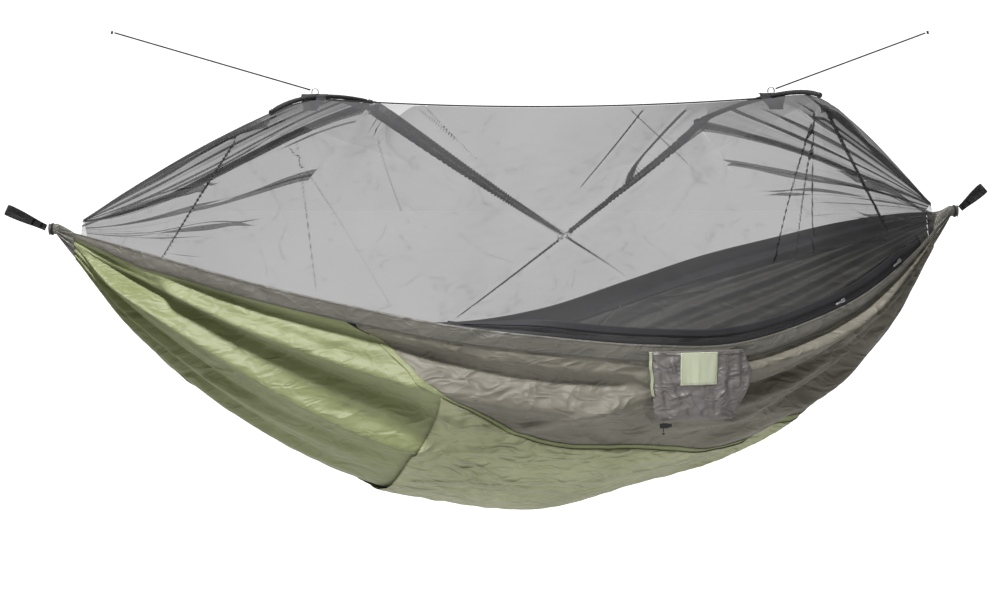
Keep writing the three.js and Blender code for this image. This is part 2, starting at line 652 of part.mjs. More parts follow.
// An end piece arches over the bed from rim to rim: at the rod it follows the rod, and it closes
// down to the gathered end of the bed.
function netEnd(rod, edges, closes, side) {
  return sheet(8, 12, (a, b) => {
    const s = mix(edges[0], closes, a);
    const farS = mix(edges[1], closes, a);
    const off = vec(side * netClear * 1.6 * (1 - a), 0, 0);
    const low = b < 0.5;
    const t = low ? b * 2 : (1 - b) * 2;
    const foot = low ? footPoint(s, -1) : footPoint(farS, 1);
    const rodEnd = (low ? rod.a : rod.b).clone().add(off).add(vec(0, 0, -4));
    const crown = rod.m.clone().add(off).add(vec(0, 0, -4));
    const small = hangPoint(closes).add(vec(0, (low ? -1 : 1) * 8, 26));
    const shoulder = rodEnd.lerp(small, a);
    const top = crown.lerp(small.clone().setY(0).add(vec(0, 0, 4)), a);
    shoulder.z += 60 * a * (1 - a);
    top.z += 70 * a * (1 - a);
    const p = t < 0.5 ? foot.lerp(shoulder, t * 2) : shoulder.lerp(top, t * 2 - 1);
    return [p.clone(), p.clone().add(vec(side * netThick, 0, netThick * 0.7))];
  });
}
add('left_net_end', netEnd(rods.left, [netEdge[0] - 0.004, farEdge[0] - 0.004], 0.05, -1), color.net, 0.9);
add('right_net_end', netEnd(rods.right, [netEdge[1] + 0.004, farEdge[1] + 0.004], 0.972, 1), color.net, 0.9);
add('near_net_hem', strip(26, zipFrame, netHemLow, netHemLow + netHem, 1.6, 2.6),
  color.darkhem, 0.9);

// ---------- stuff sack, hinged along its top seam on the near rim ----------
const sackFrame = rimFrame(sackMiddle);
sackFrame.along.setZ(0).normalize();
sackFrame.thick = sackFrame.along.clone().cross(vec(0, 0, 1)).normalize();
const sackTop = -6;
const sackBack = hemLift + hemThick + sackGap;
function sackPoint(u, drop, out) {
  return nearRim(sackMiddle).addScaledVector(sackFrame.along, u).addScaledVector(sackFrame.thick, sackBack + out)
    .add(vec(0, 0, sackTop - drop));
}
const bulge = (x) => Math.sqrt(Math.max(0, 1 - Math.abs(2 * x - 1) ** 3));
const sackEdge = 6; // thickness of the sack round its edge
const sackFront = (a, b) => sackEdge + (sackDepth - sackEdge) * bulge(a) * bulge(b);
add('stuff_sack', sheet(10, 8, (a, b) => {
  const u = mix(-sackWidth / 2, sackWidth / 2, a);
  const drop = b * sackHeight;
  return [sackPoint(u, drop, 0), sackPoint(u, drop, sackFront(a, b))];
}), color.sack, 0.5);
add('sack_label', sheet(8, 5, (a, b) => {
  const u = 3 + mix(-labelWidth / 2, labelWidth / 2, a);
  const drop = 2 + b * labelHeight;
  const front = sackFront(u / sackWidth + 0.5, drop / sackHeight) + 1.6;
  return [sackPoint(u, drop, front), sackPoint(u, drop, front + labelThick)];
}), color.label, 0.7);
add('sack_binding', sheet(1, 6, (a, b) => {
  const drop = 2 + b * 116;
  const side = -sackWidth / 2 - gap;
  return [sackPoint(side - a, drop, 0), sackPoint(side - a, drop, bindingWidth)];
}), color.palegreen, 0.7);

// ---------- drawcord and cord lock under the sack ----------
const cordSpot = { u: -83, out: 12 };
const cordAt = (below) => sackPoint(cordSpot.u, sackHeight + below, cordSpot.out);
const lockTop = 3; // the lock's top under the sack's lower edge
const tail = lockTop + lockHeight + lockSlide + 2;
const lockBore = drawcordDia / 2 + 0.5;
const up = vec(0, 0, 1);
add('sack_drawcord', tube(new THREE.LineCurve3(cordAt(0.8), cordAt(tail)), drawcordDia / 2, 6), color.cord, 0.8);
add('drawcord_knot', place(new THREE.SphereGeometry(3.6, 8, 6), cordAt(tail + 4), sackFrame.along,
  sackFrame.thick.clone().negate(), up), color.cord, 0.8);

// The lock is a barrel lying along the sack's edge. Its button slides in one end against a spring.
const buttonRadius = lockRadius - 1.6;
const buttonHead = 4;
const pocketDepth = 8.5;
const pocketClear = 0.4;
const stemLength = 4.6;
function lockPiece(geometry) {
  const centre = cordAt(lockTop + lockHeight / 2);
  return place(geometry, centre, sackFrame.along, up, sackFrame.thick);
}
const alongX = (radius, length, x) => new THREE.CylinderGeometry(radius, radius, length, 14)
  .rotateZ(Math.PI / 2).translate(x + length / 2, 0, 0);
const lockEnd = lockLength - 8; // from the cord's bore to the mouth of the button's pocket
const barrel = manifold(new THREE.BoxGeometry(lockLength, lockHeight, 2 * lockRadius - 2)
  .translate(lockEnd - lockLength / 2, 0, 0));
const bore = manifold(new THREE.CylinderGeometry(lockBore, lockBore, lockHeight + 2, 10));
const pocket = manifold(alongX(buttonRadius - 0.8, pocketDepth + 1, lockEnd - pocketDepth));
add('cord_lock_body', lockPiece(fromManifold(barrel.subtract(bore).subtract(pocket))), color.black, 0.5);
const stemRadius = buttonRadius - 0.8 - pocketClear;
const headAt = lockEnd + lockTravel + 0.3;
const stem = manifold(alongX(stemRadius, headAt - (lockEnd - stemLength + lockTravel) + 0.1, lockEnd - stemLength + lockTravel));
const head = manifold(alongX(buttonRadius, buttonHead, headAt));
const springFrom = lockEnd - pocketDepth + 0.5;
const springTo = lockEnd - stemLength + lockTravel - 0.5;
const coilPoints = [];
for (let k = 0; k <= springTurns * 10; k += 1) {
  const turn = (2 * Math.PI * k) / 10;
  const x = mix(springFrom, springTo, k / (springTurns * 10));
  coilPoints.push(vec(x, springRadius * Math.cos(turn), springRadius * Math.sin(turn)));
}
const coil = tube(new THREE.CatmullRomCurve3(coilPoints), springWire / 2, springTurns * 10, 6);
add('cord_lock_spring', lockPiece(coil), color.silver, 0.4, 0.9);
add('cord_lock_button', lockPiece(fromManifold(stem.add(head))), color.black, 0.5);

export default group;
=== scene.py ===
# %% [markdown]
# ## A hung camping hammock
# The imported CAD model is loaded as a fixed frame. It says where every sub-part is and which body
# carries it. All that follows gives those sub-parts the cloth, mesh and cord that they have in life.

# %% Load the frame
import json
import math

import bmesh
import bpy
import numpy as np
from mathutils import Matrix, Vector
from mathutils.bvhtree import BVHTree


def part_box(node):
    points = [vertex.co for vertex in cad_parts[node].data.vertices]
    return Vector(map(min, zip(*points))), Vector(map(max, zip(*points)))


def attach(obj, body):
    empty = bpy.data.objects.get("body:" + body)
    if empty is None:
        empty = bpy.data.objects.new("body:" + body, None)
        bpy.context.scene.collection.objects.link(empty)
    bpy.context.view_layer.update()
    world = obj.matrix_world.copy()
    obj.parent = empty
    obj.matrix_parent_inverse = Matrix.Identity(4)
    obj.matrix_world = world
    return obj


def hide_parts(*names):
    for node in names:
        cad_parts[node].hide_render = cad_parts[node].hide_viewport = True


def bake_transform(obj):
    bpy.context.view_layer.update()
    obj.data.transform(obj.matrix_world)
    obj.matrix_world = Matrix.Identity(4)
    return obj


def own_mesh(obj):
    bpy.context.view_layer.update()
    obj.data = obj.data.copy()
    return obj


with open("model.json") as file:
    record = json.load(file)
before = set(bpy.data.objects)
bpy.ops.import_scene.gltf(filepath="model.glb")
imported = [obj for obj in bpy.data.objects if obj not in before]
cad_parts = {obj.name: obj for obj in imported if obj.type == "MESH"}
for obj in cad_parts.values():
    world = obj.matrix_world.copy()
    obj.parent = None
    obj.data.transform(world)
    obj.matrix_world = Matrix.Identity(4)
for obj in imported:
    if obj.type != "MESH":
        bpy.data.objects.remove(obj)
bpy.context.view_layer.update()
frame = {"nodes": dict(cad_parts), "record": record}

# %% [markdown]
# ## Camera and studio
# The hammock hangs level and is seen from the side, a little above its rim, so that the far rim and
# the far side of the net show over the near ones. A long lens keeps both ends the same size. The
# studio is one pale floor that runs off into a white world, with a key light over the camera.

# %% Camera
target = (1.270, 0.0, -0.234)
camera_far = 5.06
camera_up = math.radians(6)
camera_data = bpy.data.cameras.new("camera")
camera_data.sensor_width = 36
camera_data.lens = 69.93
camera = bpy.data.objects.new("camera", camera_data)
bpy.context.collection.objects.link(camera)
camera.location = (
    target[0],
    target[1] - camera_far * math.cos(camera_up),
    target[2] + camera_far * math.sin(camera_up),
)
camera.rotation_euler = (math.pi / 2 - camera_up, 0, 0)
bpy.context.scene.camera = camera
print("camera at", [round(c, 3) for c in camera.location])


# %% Lights
def area_light(name, place, aim, power, size):
    light = bpy.data.lights.new(name, "AREA")
    light.energy = power
    light.shape = "DISK"
    light.size = size
    holder = bpy.data.objects.new(name, light)
    bpy.context.collection.objects.link(holder)
    holder.location = place
    away = np.array(aim, float) - np.array(place, float)
    flat = math.hypot(away[0], away[1])
    holder.rotation_euler = (math.pi / 2 + math.atan2(away[2], flat), 0, math.atan2(-away[0], away[1]))
    return holder


area_light("key", (0.0, -2.6, 3.7), (1.1, 0, -0.4), 262, 0.8)
area_light("fill", (4.4, -4.2, 0.4), (1.6, 0, -0.3), 15, 2.0)
area_light("top", (1.6, 0.4, 3.8), (1.3, 0, -0.2), 45, 1.6)
print("lights:", len(bpy.data.lights))


# %% World and floor
def glow_level(tree, seen, lit):
    """A brightness of seen + lit for the camera and of lit for the light that falls on the cloth."""
    rays = tree.nodes.new("ShaderNodeLightPath")
    level = tree.nodes.new("ShaderNodeMath")
    level.operation = "MULTIPLY_ADD"
    level.inputs[1].default_value = seen
    level.inputs[2].default_value = lit
    tree.links.new(rays.outputs["Is Camera Ray"], level.inputs[0])
    return level.outputs[0]


world = bpy.data.worlds.new("studio")
bpy.context.scene.world = world
world.use_nodes = True
backdrop = world.node_tree.nodes["Background"]
backdrop.inputs["Color"].default_value = (1, 1, 1, 1)
world.node_tree.links.new(glow_level(world.node_tree, 1.1, 0.18), backdrop.inputs["Strength"])
bpy.context.scene.view_settings.view_transform = "Standard"

floor_material = bpy.data.materials.new("studio_sweep")
floor_material.use_nodes = True
floor_tree = floor_material.node_tree
floor_shader = floor_tree.nodes["Principled BSDF"]
floor_shader.inputs["Base Color"].default_value = (0.8, 0.8, 0.8, 1)
floor_shader.inputs["Roughness"].default_value = 0.9
floor_shader.inputs["Specular IOR Level"].default_value = 0.0
floor_shader.inputs["Emission Color"].default_value = (1, 1, 1, 1)
floor_tree.links.new(glow_level(floor_tree, 1.1, 0.06), floor_shader.inputs["Emission Strength"])

floor_level = -1.75
bpy.ops.object.select_all(action="DESELECT")
bpy.ops.mesh.primitive_grid_add(x_subdivisions=20, y_subdivisions=20, size=60, location=(0, 0, 0))
studio_floor = bpy.context.active_object
studio_floor.name = "studio_floor"
for corner in studio_floor.data.vertices:
    corner.co.z = floor_level
studio_floor.data.materials.append(floor_material)
bpy.ops.object.shade_smooth()

# %% [markdown]
# ## Tracks and sheets
# Most of a hammock is cloth, so the shapes start from a few rows of numbers read as smooth tracks,
# and from one helper that turns a function of two directions into a sheet with a UV map measured in
# metres. The weave of each cloth then follows its own threads.


# %% Helpers for numbers
def mix(a, b, t):
    return a + (b - a) * t


def smooth(low, high, x):
    t = np.clip((np.asarray(x, float) - low) / (high - low), 0, 1)
    return t * t * (3 - 2 * t)


def ridge(x):
    return np.exp(-np.asarray(x, float) ** 2)


def track(rows):
    rows = np.array(rows, float)
    place = rows[:, 0]
    step = np.diff(place)
    rise = np.diff(rows[:, 1:], axis=0) / step[:, None]
    slope = np.empty((len(rows), rows.shape[1] - 1))
    slope[0], slope[-1] = rise[0], rise[-1]
    before, after = step[:-1, None], step[1:, None]
    slope[1:-1] = (rise[:-1] * after + rise[1:] * before) / (before + after)

    def read(s, k=1):
        s = np.asarray(s, float)
        i = np.clip(np.searchsorted(place, s) - 1, 0, len(step) - 1)
        t = (s - place[i]) / step[i]
        ends = (2 * t**3 - 3 * t**2 + 1) * rows[i, k] + (3 * t**2 - 2 * t**3) * rows[i + 1, k]
        turns = (t**3 - 2 * t**2 + t) * slope[i, k - 1] + (t**3 - t**2) * slope[i + 1, k - 1]
        return ends + step[i] * turns

    return read


def run_along(path):
    """Running length at each point of a path."""
    return np.concatenate([[0], np.cumsum(np.linalg.norm(np.diff(path, axis=0), axis=1))])


def box_of(node):
    """The two corners of a CAD node's box."""
    low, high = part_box(node)
    return np.array(low), np.array(high)


def stack(x, y, z):
    x, y, z = np.broadcast_arrays(x, y, z)
    return np.stack([x, y, z], axis=-1).astype(float)


def unit(v):
    return v / np.maximum(np.linalg.norm(v, axis=-1, keepdims=True), 1e-9)


def ripple(x, y, seed):
    """A quiet uneven wave from a few turned sines, between about -1 and 1."""
    total = 0
    for k in range(1, 6):
        turn = seed * 1.7 + k * 2.4
        pitch = 1 + 0.37 * k
        total = total + np.sin(pitch * (x * math.cos(turn) + y * math.sin(turn)) + k * seed) / k**0.6
    return total / 2.6


print("a smooth step half way:", float(smooth(0, 1, 0.5)))


# %% Helpers for meshes
def finished(mesh, name, material):
    mesh.validate()
    mesh.update()
    piece = bpy.data.objects.new(name, mesh)
    bpy.context.collection.objects.link(piece)
    mesh.polygons.foreach_set("use_smooth", [True] * len(mesh.polygons))
    mesh.materials.append(material)
    return piece


def turned_outwards(mesh):
    """Makes every face of a closed mesh point outwards."""
    work = bmesh.new()
    work.from_mesh(mesh)
    bmesh.ops.recalc_face_normals(work, faces=work.faces)
    work.to_mesh(mesh)
    work.free()


def grid_faces(columns, rows, round_rows=False):
    i, j = np.meshgrid(np.arange(columns), np.arange(rows), indexing="ij")
    wide = rows + (0 if round_rows else 1)
    right = (j + 1) % wide if round_rows else j + 1
    a, b = i * wide + j, (i + 1) * wide + j
    c, d = (i + 1) * wide + right, i * wide + right
    return np.stack([a, b, c, d], axis=-1).reshape(-1, 4)


def tube_mesh(name, rings, order=1):
    """A tube from rings of points, closed at both ends."""
    count, around = rings.shape[:2]
    faces = grid_faces(count - 1, around, round_rows=True)[:, ::order].tolist()
    faces.append(list(range(around)))
    faces.append([(count - 1) * around + k for k in range(around)][::-1])
    mesh = bpy.data.meshes.new(name)
    mesh.from_pydata(rings.reshape(-1, 3).tolist(), [], faces)
    return mesh


def set_thread(mesh, coords):
    """Writes the thread map: one pair of metres for each vertex."""
    spots = np.array([loop.vertex_index for loop in mesh.loops])
    uv = mesh.uv_layers[0] if mesh.uv_layers else mesh.uv_layers.new(name="thread")
    uv.name = "thread"
    uv.data.foreach_set("uv", coords.reshape(-1, 2)[spots].astype(np.float32).reshape(-1))


def set_points(mesh, points):
    mesh.vertices.foreach_set("co", points.astype(np.float32).reshape(-1))
    mesh.update()


def cloth(name, points, thread, material):
    """A one-layer sheet from a grid of points, with thread lengths in metres as its UV map."""
    columns, rows = points.shape[0] - 1, points.shape[1] - 1
    bpy.ops.object.select_all(action="DESELECT")
    bpy.ops.mesh.primitive_grid_add(x_subdivisions=rows, y_subdivisions=columns, size=1)
    bpy.ops.object.mode_set(mode="EDIT")
    bpy.ops.mesh.select_all(action="SELECT")
    bpy.ops.mesh.flip_normals()
    bpy.ops.object.mode_set(mode="OBJECT")
    bpy.ops.object.shade_smooth()
    piece = bpy.context.active_object
    piece.name = name
    piece.data.name = name
    set_points(piece.data, points)
    set_thread(piece.data, thread)
    piece.data.materials.append(material)
    return piece


def apply_modifier(piece, kind, **settings):
    bpy.ops.object.select_all(action="DESELECT")
    piece.select_set(True)
    bpy.context.view_layer.objects.active = piece
    modifier = piece.modifiers.new(kind.lower(), kind)
    for key, value in settings.items():
        setattr(modifier, key, value)
    bpy.ops.object.modifier_apply(modifier=modifier.name)
    return piece


def thicken(piece, thickness, outer_slot=0):
    """A cloth's own thickness, which gives it a real edge; its outside may have its own finish."""
    return apply_modifier(piece, "SOLIDIFY", thickness=thickness, offset=0.0, use_rim=True,
                          material_offset=outer_slot)


def cord_tube(name, path, radius, sides, material, swell=None):
    """A round cord along a path, closed at both ends; its UV map runs round it and along it."""
    path = np.array(path, float)
    ahead = unit(np.gradient(path, axis=0))
    side = unit(np.cross(ahead[0], (0.1, 0.2, 1.0)))
    carried = []
    for step in ahead:
        side = unit(side - step * np.dot(side, step))
        carried.append(side)
    side = np.array(carried)
    over = np.cross(ahead, side)
    turn = np.linspace(0, 2 * math.pi, sides, endpoint=False)
    size = radius * (np.ones(len(path)) if swell is None else np.array(swell))
    ring = side[:, None] * np.cos(turn)[None, :, None] + over[:, None] * np.sin(turn)[None, :, None]
    mesh = tube_mesh(name, path[:, None] + ring * size[:, None, None], -1)
    run = run_along(path)
    uv = mesh.uv_layers.new(name="thread")
    for face in mesh.polygons:
        wraps = max(mesh.loops[k].vertex_index % sides for k in face.loop_indices) == sides - 1
        for k in face.loop_indices:
            vertex = mesh.loops[k].vertex_index
            place = vertex % sides
            if wraps and place == 0 and len(face.loop_indices) == 4:
                place = sides
            uv.data[k].uv = (place / sides, run[vertex // sides])
    turned_outwards(mesh)
    return finished(mesh, name, material)


def lengths(points, axis):
    """Running length along one direction of a grid of points, averaged over the other."""
    step = np.linalg.norm(np.diff(points, axis=axis), axis=-1)
    pad = [(0, 0), (0, 0)]
    pad[axis] = (1, 0)
    return np.cumsum(np.pad(step, pad), axis=axis)


def threads(points):
    """The thread map of a grid of points: its lengths both ways, in metres."""
    return np.stack([lengths(points, 0), lengths(points, 1)], axis=-1)


print("a strip of 2 by 3 squares has", len(grid_faces(2, 3)), "faces")

# %% [markdown]
# ## Finishes
# Hammock cloth is a fine coated nylon: smooth, a little shiny, with a square ripstop thread every few
# millimetres. The effects that several finishes share are node groups: a ripstop weave, a twill for
# tape and webbing, a braid for cords, a soft mottle for handling marks and creases for crumpled cloth.


# %% Node helpers
def new_group(name, inputs, outputs):
    group = bpy.data.node_groups.new(name, "ShaderNodeTree")
    for socket, value in inputs:
        made = group.interface.new_socket(socket, in_out="INPUT", socket_type="NodeSocketFloat")
        made.default_value = value
    group.interface.new_socket("Vector", in_out="INPUT", socket_type="NodeSocketVector")
    for socket in outputs:
        group.interface.new_socket(socket, in_out="OUTPUT", socket_type="NodeSocketFloat")
    return group, group.nodes.new("NodeGroupInput"), group.nodes.new("NodeGroupOutput")


def math_node(tree, kind, first, second=None, third=None):
    node = tree.nodes.new("ShaderNodeMath")
    node.operation = kind
    for slot, value in enumerate((first, second, third)):
        if value is None:
            continue
        if isinstance(value, (int, float)):
            node.inputs[slot].default_value = value
        else:
            tree.links.new(value, node.inputs[slot])
    return node.outputs[0]


def split(tree, vector):
    node = tree.nodes.new("ShaderNodeSeparateXYZ")
    tree.links.new(vector, node.inputs[0])
    return node.outputs


def wave(tree, coordinate, pitch):
    """A sine that repeats every pitch metres, between -1 and 1."""
    turned = math_node(tree, "MULTIPLY", coordinate, 2 * math.pi / pitch)
    return math_node(tree, "SINE", turned)


# %% Shared node groups
ripstop, g_in, g_out = new_group("ripstop_weave", [("Square", 0.0055)], ["Height", "Line"])
across, along, _ = split(ripstop, g_in.outputs["Vector"])
lines = []
for direction in (across, along):
    share = math_node(ripstop, "DIVIDE", direction, g_in.outputs["Square"])
    near_line = math_node(ripstop, "ABSOLUTE", math_node(ripstop, "SUBTRACT",
                          math_node(ripstop, "FRACT", share), 0.5))
    lines.append(math_node(ripstop, "GREATER_THAN", near_line, 0.44))
thread_line = math_node(ripstop, "MAXIMUM", lines[0], lines[1])
fine = math_node(ripstop, "MULTIPLY", wave(ripstop, across, 0.0009), wave(ripstop, along, 0.0009))
height = math_node(ripstop, "MULTIPLY_ADD", thread_line, 0.8, math_node(ripstop, "MULTIPLY", fine, 0.3))
ripstop.links.new(height, g_out.inputs["Height"])
ripstop.links.new(thread_line, g_out.inputs["Line"])

twill, g_in, g_out = new_group("twill_weave", [("Pitch", 0.0024)], ["Height"])
across, along, _ = split(twill, g_in.outputs["Vector"])
slant = math_node(twill, "DIVIDE", math_node(twill, "ADD", math_node(twill, "ABSOLUTE", across), along),
                  g_in.outputs["Pitch"])
rows = math_node(twill, "DIVIDE", across, g_in.outputs["Pitch"])
body = math_node(twill, "SINE", math_node(twill, "MULTIPLY", slant, 2 * math.pi))
rib_line = math_node(twill, "SINE", math_node(twill, "MULTIPLY", rows, 2 * math.pi))
twill.links.new(math_node(twill, "MULTIPLY_ADD", rib_line, 0.5, body), g_out.inputs["Height"])

braid, g_in, g_out = new_group("braid", [("Pitch", 0.004)], ["Height"])
around, along, _ = split(braid, g_in.outputs["Vector"])
turns = math_node(braid, "MULTIPLY", around, 8 * math.pi)
run = math_node(braid, "DIVIDE", math_node(braid, "MULTIPLY", along, 2 * math.pi), g_in.outputs["Pitch"])
left_strand = math_node(braid, "SINE", math_node(braid, "ADD", turns, run))
right_strand = math_node(braid, "SINE", math_node(braid, "SUBTRACT", turns, run))
braid.links.new(math_node(braid, "MAXIMUM", left_strand, right_strand), g_out.inputs["Height"])

mottle, g_in, g_out = new_group("handling_marks", [("Scale", 6.0), ("Detail", 4.0)], ["Value"])
noise = mottle.nodes.new("ShaderNodeTexNoise")
mottle.links.new(g_in.outputs["Vector"], noise.inputs["Vector"])
mottle.links.new(g_in.outputs["Scale"], noise.inputs["Scale"])
mottle.links.new(g_in.outputs["Detail"], noise.inputs["Detail"])
mottle.links.new(noise.outputs["Fac"], g_out.inputs["Value"])

creases, g_in, g_out = new_group("crumpled_creases", [("Scale", 9.0), ("Stretch", 0.5)], ["Height"])
across, along, upward = split(creases, g_in.outputs["Vector"])
drawn = creases.nodes.new("ShaderNodeCombineXYZ")
creases.links.new(math_node(creases, "MULTIPLY", across, g_in.outputs["Stretch"]), drawn.inputs[0])
creases.links.new(along, drawn.inputs[1])
creases.links.new(upward, drawn.inputs[2])
steps = []
for size in (1.0, 2.7):
    grain_noise = creases.nodes.new("ShaderNodeTexNoise")
    grain_noise.inputs["Detail"].default_value = 1.0
    grain_noise.inputs["Distortion"].default_value = 0.7
    creases.links.new(drawn.outputs[0], grain_noise.inputs["Vector"])
    scale = math_node(creases, "MULTIPLY", g_in.outputs["Scale"], size)
    creases.links.new(scale, grain_noise.inputs["Scale"])
    centred = math_node(creases, "SUBTRACT", grain_noise.outputs["Fac"], 0.5)
    steps.append(math_node(creases, "MULTIPLY", math_node(creases, "ABSOLUTE", centred), -2.0 / size))
creases.links.new(math_node(creases, "ADD", steps[0], steps[1]), g_out.inputs["Height"])
print("node groups:", [g.name for g in bpy.data.node_groups])


# %% One recipe for all finishes
mottle_scale = 6.0
rough_spread = 0.16
most_solid = 0.93


def place_group(tree, group, vector, values):
    """Puts a shared effect into a finish, with its own values."""
    node = tree.nodes.new("ShaderNodeGroup")
    node.node_tree = group
    for socket, value in values.items():
        node.inputs[socket].default_value = value
    tree.links.new(vector, node.inputs["Vector"])
    return node


def lifted(tree, height, strength, distance):
    node = tree.nodes.new("ShaderNodeBump")
    node.inputs["Strength"].default_value = strength
    node.inputs["Distance"].default_value = distance
    tree.links.new(height, node.inputs["Height"])
    return node


def see_through(tree, place, alpha):
    """Mesh cloth lets light through; it is denser where it is drawn together or seen edge on."""
    facing = tree.nodes.new("ShaderNodeLayerWeight")
    facing.inputs["Blend"].default_value = 0.5
    edge_on = math_node(tree, "POWER", facing.outputs["Facing"], 2.0)
    pulled = place_group(tree, creases, place.outputs["Object"], {"Scale": 5.0, "Stretch": 0.8})
    sharp = math_node(tree, "POWER", math_node(tree, "ADD", pulled.outputs["Height"], 1.0), 30.0)
    dense = math_node(tree, "MULTIPLY_ADD", sharp, 0.1, alpha)
    solid = math_node(tree, "MULTIPLY_ADD", edge_on, 0.45, dense)
    return math_node(tree, "MINIMUM", solid, most_solid)


def finish(name, dark, light, rough, weave=None, weave_value=None, bump=0.25, depth=0.0004, metal=0.0,
           sheen=0.0, coat=0.0, grain=None, alpha=None, specular=0.5, crumple=0.0, crumple_size=9.0):
    """A finish between two colours, spread by a mottle, with a weave or a grain as its bump."""
    material = bpy.data.materials.new(name)
    material.use_nodes = True
    tree = material.node_tree
    shader = tree.nodes["Principled BSDF"]
    place = tree.nodes.new("ShaderNodeTexCoord")
    marks = place_group(tree, mottle, place.outputs["Object"], {"Scale": mottle_scale})
    ramp = tree.nodes.new("ShaderNodeValToRGB")
    for element, position, colour in zip(ramp.color_ramp.elements, (0.3, 0.7), (dark, light)):
        element.position = position
        element.color = (*colour, 1)
    tree.links.new(marks.outputs["Value"], ramp.inputs["Fac"])
    tree.links.new(ramp.outputs["Color"], shader.inputs["Base Color"])
    spread = math_node(tree, "MULTIPLY_ADD", marks.outputs["Value"], rough_spread, rough - rough_spread / 2)
    tree.links.new(spread, shader.inputs["Roughness"])
    for socket, value in (
        ("Metallic", metal), ("Sheen Weight", sheen), ("Sheen Roughness", 0.4), ("Coat Weight", coat),
        ("Coat Roughness", 0.3), ("Specular IOR Level", specular),
    ):
        shader.inputs[socket].default_value = value
    if alpha is not None:
        tree.links.new(see_through(tree, place, alpha), shader.inputs["Alpha"])
    if weave:
        pattern = place_group(tree, weave, place.outputs["UV"], {0: weave_value} if weave_value else {})
        lift = lifted(tree, pattern.outputs["Height"], bump, depth)
    else:
        specks = tree.nodes.new("ShaderNodeTexNoise")
        specks.inputs["Scale"].default_value = grain
        tree.links.new(place.outputs["Object"], specks.inputs["Vector"])
        lift = lifted(tree, specks.outputs["Fac"], bump, depth)
    tree.links.new(lift.outputs["Normal"], shader.inputs["Normal"])
    if crumple:
        worn = place_group(tree, creases, place.outputs["Object"], {"Scale": crumple_size})
        rough_lift = lifted(tree, worn.outputs["Height"], 1.0, crumple)
        tree.links.new(rough_lift.outputs["Normal"], lift.inputs["Normal"])
    return material


green = finish("green_ripstop", (0.25, 0.278, 0.118), (0.32, 0.348, 0.175), 0.5, ripstop,
               sheen=0.35, specular=0.6, crumple=0.009, crumple_size=13.0)
outer_green = finish("outer_green_ripstop", (0.36, 0.378, 0.2), (0.5, 0.518, 0.31), 0.52, ripstop,
                     sheen=0.35, crumple=0.03, crumple_size=11.0)
taupe = finish("taupe_ripstop", (0.175, 0.162, 0.126), (0.26, 0.242, 0.196), 0.5, ripstop,
               sheen=0.3, crumple=0.022, crumple_size=10.0)
# The lining is the same taupe cloth made darker than its outside: painted shade for the inside of the bed.
lining_painted_shade = finish("lining_ripstop_painted_shade", (0.1, 0.096, 0.085), (0.13, 0.125, 0.11), 0.55, ripstop,
                     crumple=0.012)
hem_taupe = finish("hem_taupe", (0.125, 0.118, 0.1), (0.165, 0.156, 0.134), 0.44, ripstop,
                   sheen=0.12, crumple=0.008, crumple_size=16.0)
pale = finish("pale_binding", (0.46, 0.5, 0.33), (0.56, 0.6, 0.43), 0.6, twill, 0.0012, bump=0.4)
band = finish("dark_band", (0.028, 0.028, 0.031), (0.042, 0.042, 0.046), 0.75, twill, 0.0016, bump=0.3)
cord_black = finish("black_cord", (0.012, 0.012, 0.013), (0.03, 0.03, 0.032), 0.6, braid, 0.004,
                    bump=0.8, depth=0.0006)
webbing = finish("black_webbing", (0.007, 0.007, 0.0072), (0.016, 0.016, 0.016), 0.55, twill, 0.0022,
                 bump=0.7, depth=0.0008)
coil_black = finish("zip_coil", (0.02, 0.02, 0.023), (0.035, 0.035, 0.04), 0.3, grain=400, bump=0.05)
silver = finish("zip_metal", (0.62, 0.63, 0.65), (0.75, 0.76, 0.78), 0.3, grain=700, bump=0.06, metal=1.0)
sack_shiny = finish("sack_cloth", (0.15, 0.136, 0.13), (0.235, 0.215, 0.208), 0.42, ripstop, bump=0.2,
                    sheen=0.2, specular=0.6, crumple=0.02, crumple_size=15.0)
label_weave = finish("label_cloth", (0.58, 0.62, 0.44), (0.68, 0.72, 0.54), 0.55, twill, 0.0008, bump=0.25)
plastic = finish("black_plastic", (0.01, 0.01, 0.011), (0.02, 0.02, 0.022), 0.4, grain=1500, bump=0.12)
fibre_rod = finish("rod", (0.018, 0.018, 0.02), (0.03, 0.03, 0.033), 0.28, grain=300, bump=0.05, coat=0.3)
net_grey = finish("insect_net", (0.085, 0.085, 0.088), (0.12, 0.12, 0.124), 0.85, grain=2400, bump=0.1,
                  alpha=0.44, specular=0.2)
thread_dark = finish("dark_thread", (0.02, 0.02, 0.018), (0.05, 0.048, 0.04), 0.6, grain=1800, bump=0.3)
thread_pale = finish("pale_thread", (0.3, 0.32, 0.2), (0.42, 0.45, 0.3), 0.6, grain=1800, bump=0.3)
print("finishes:", len(bpy.data.materials))

# %% [markdown]
# ## Guy lines, knots and ridge cord
# Two guy lines pull the rods up and out. They are under tension, so each is straight, and ends in a
# small overhand knot. They come first, since a cord has a length that the frame already fixes.

# %% The rods' middles and the guy lines
left_rod = np.array([[0.727, -0.330, 0.261], [0.802, 0, 0.297], [0.923, 0.330, 0.284]])
right_rod = np.array([[2.058, -0.330, 0.302], [1.988, 0, 0.300], [1.831, 0.330, 0.231]])
for name in ("left", "right"):
    print(name, "rod box", *(np.round(corner, 3) for corner in box_of(f"{name}_spreader_rod")))


def bowed(rod, t):
    control = 2 * rod[1] - (rod[0] + rod[2]) / 2
    t = np.asarray(t, float)[..., None]
    return (1 - t) ** 2 * rod[0] + 2 * t * (1 - t) * control + t**2 * rod[2]


def ride_as(piece, body, nodes):
    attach(piece, body)
    if nodes:
        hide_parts(*nodes)
    return piece


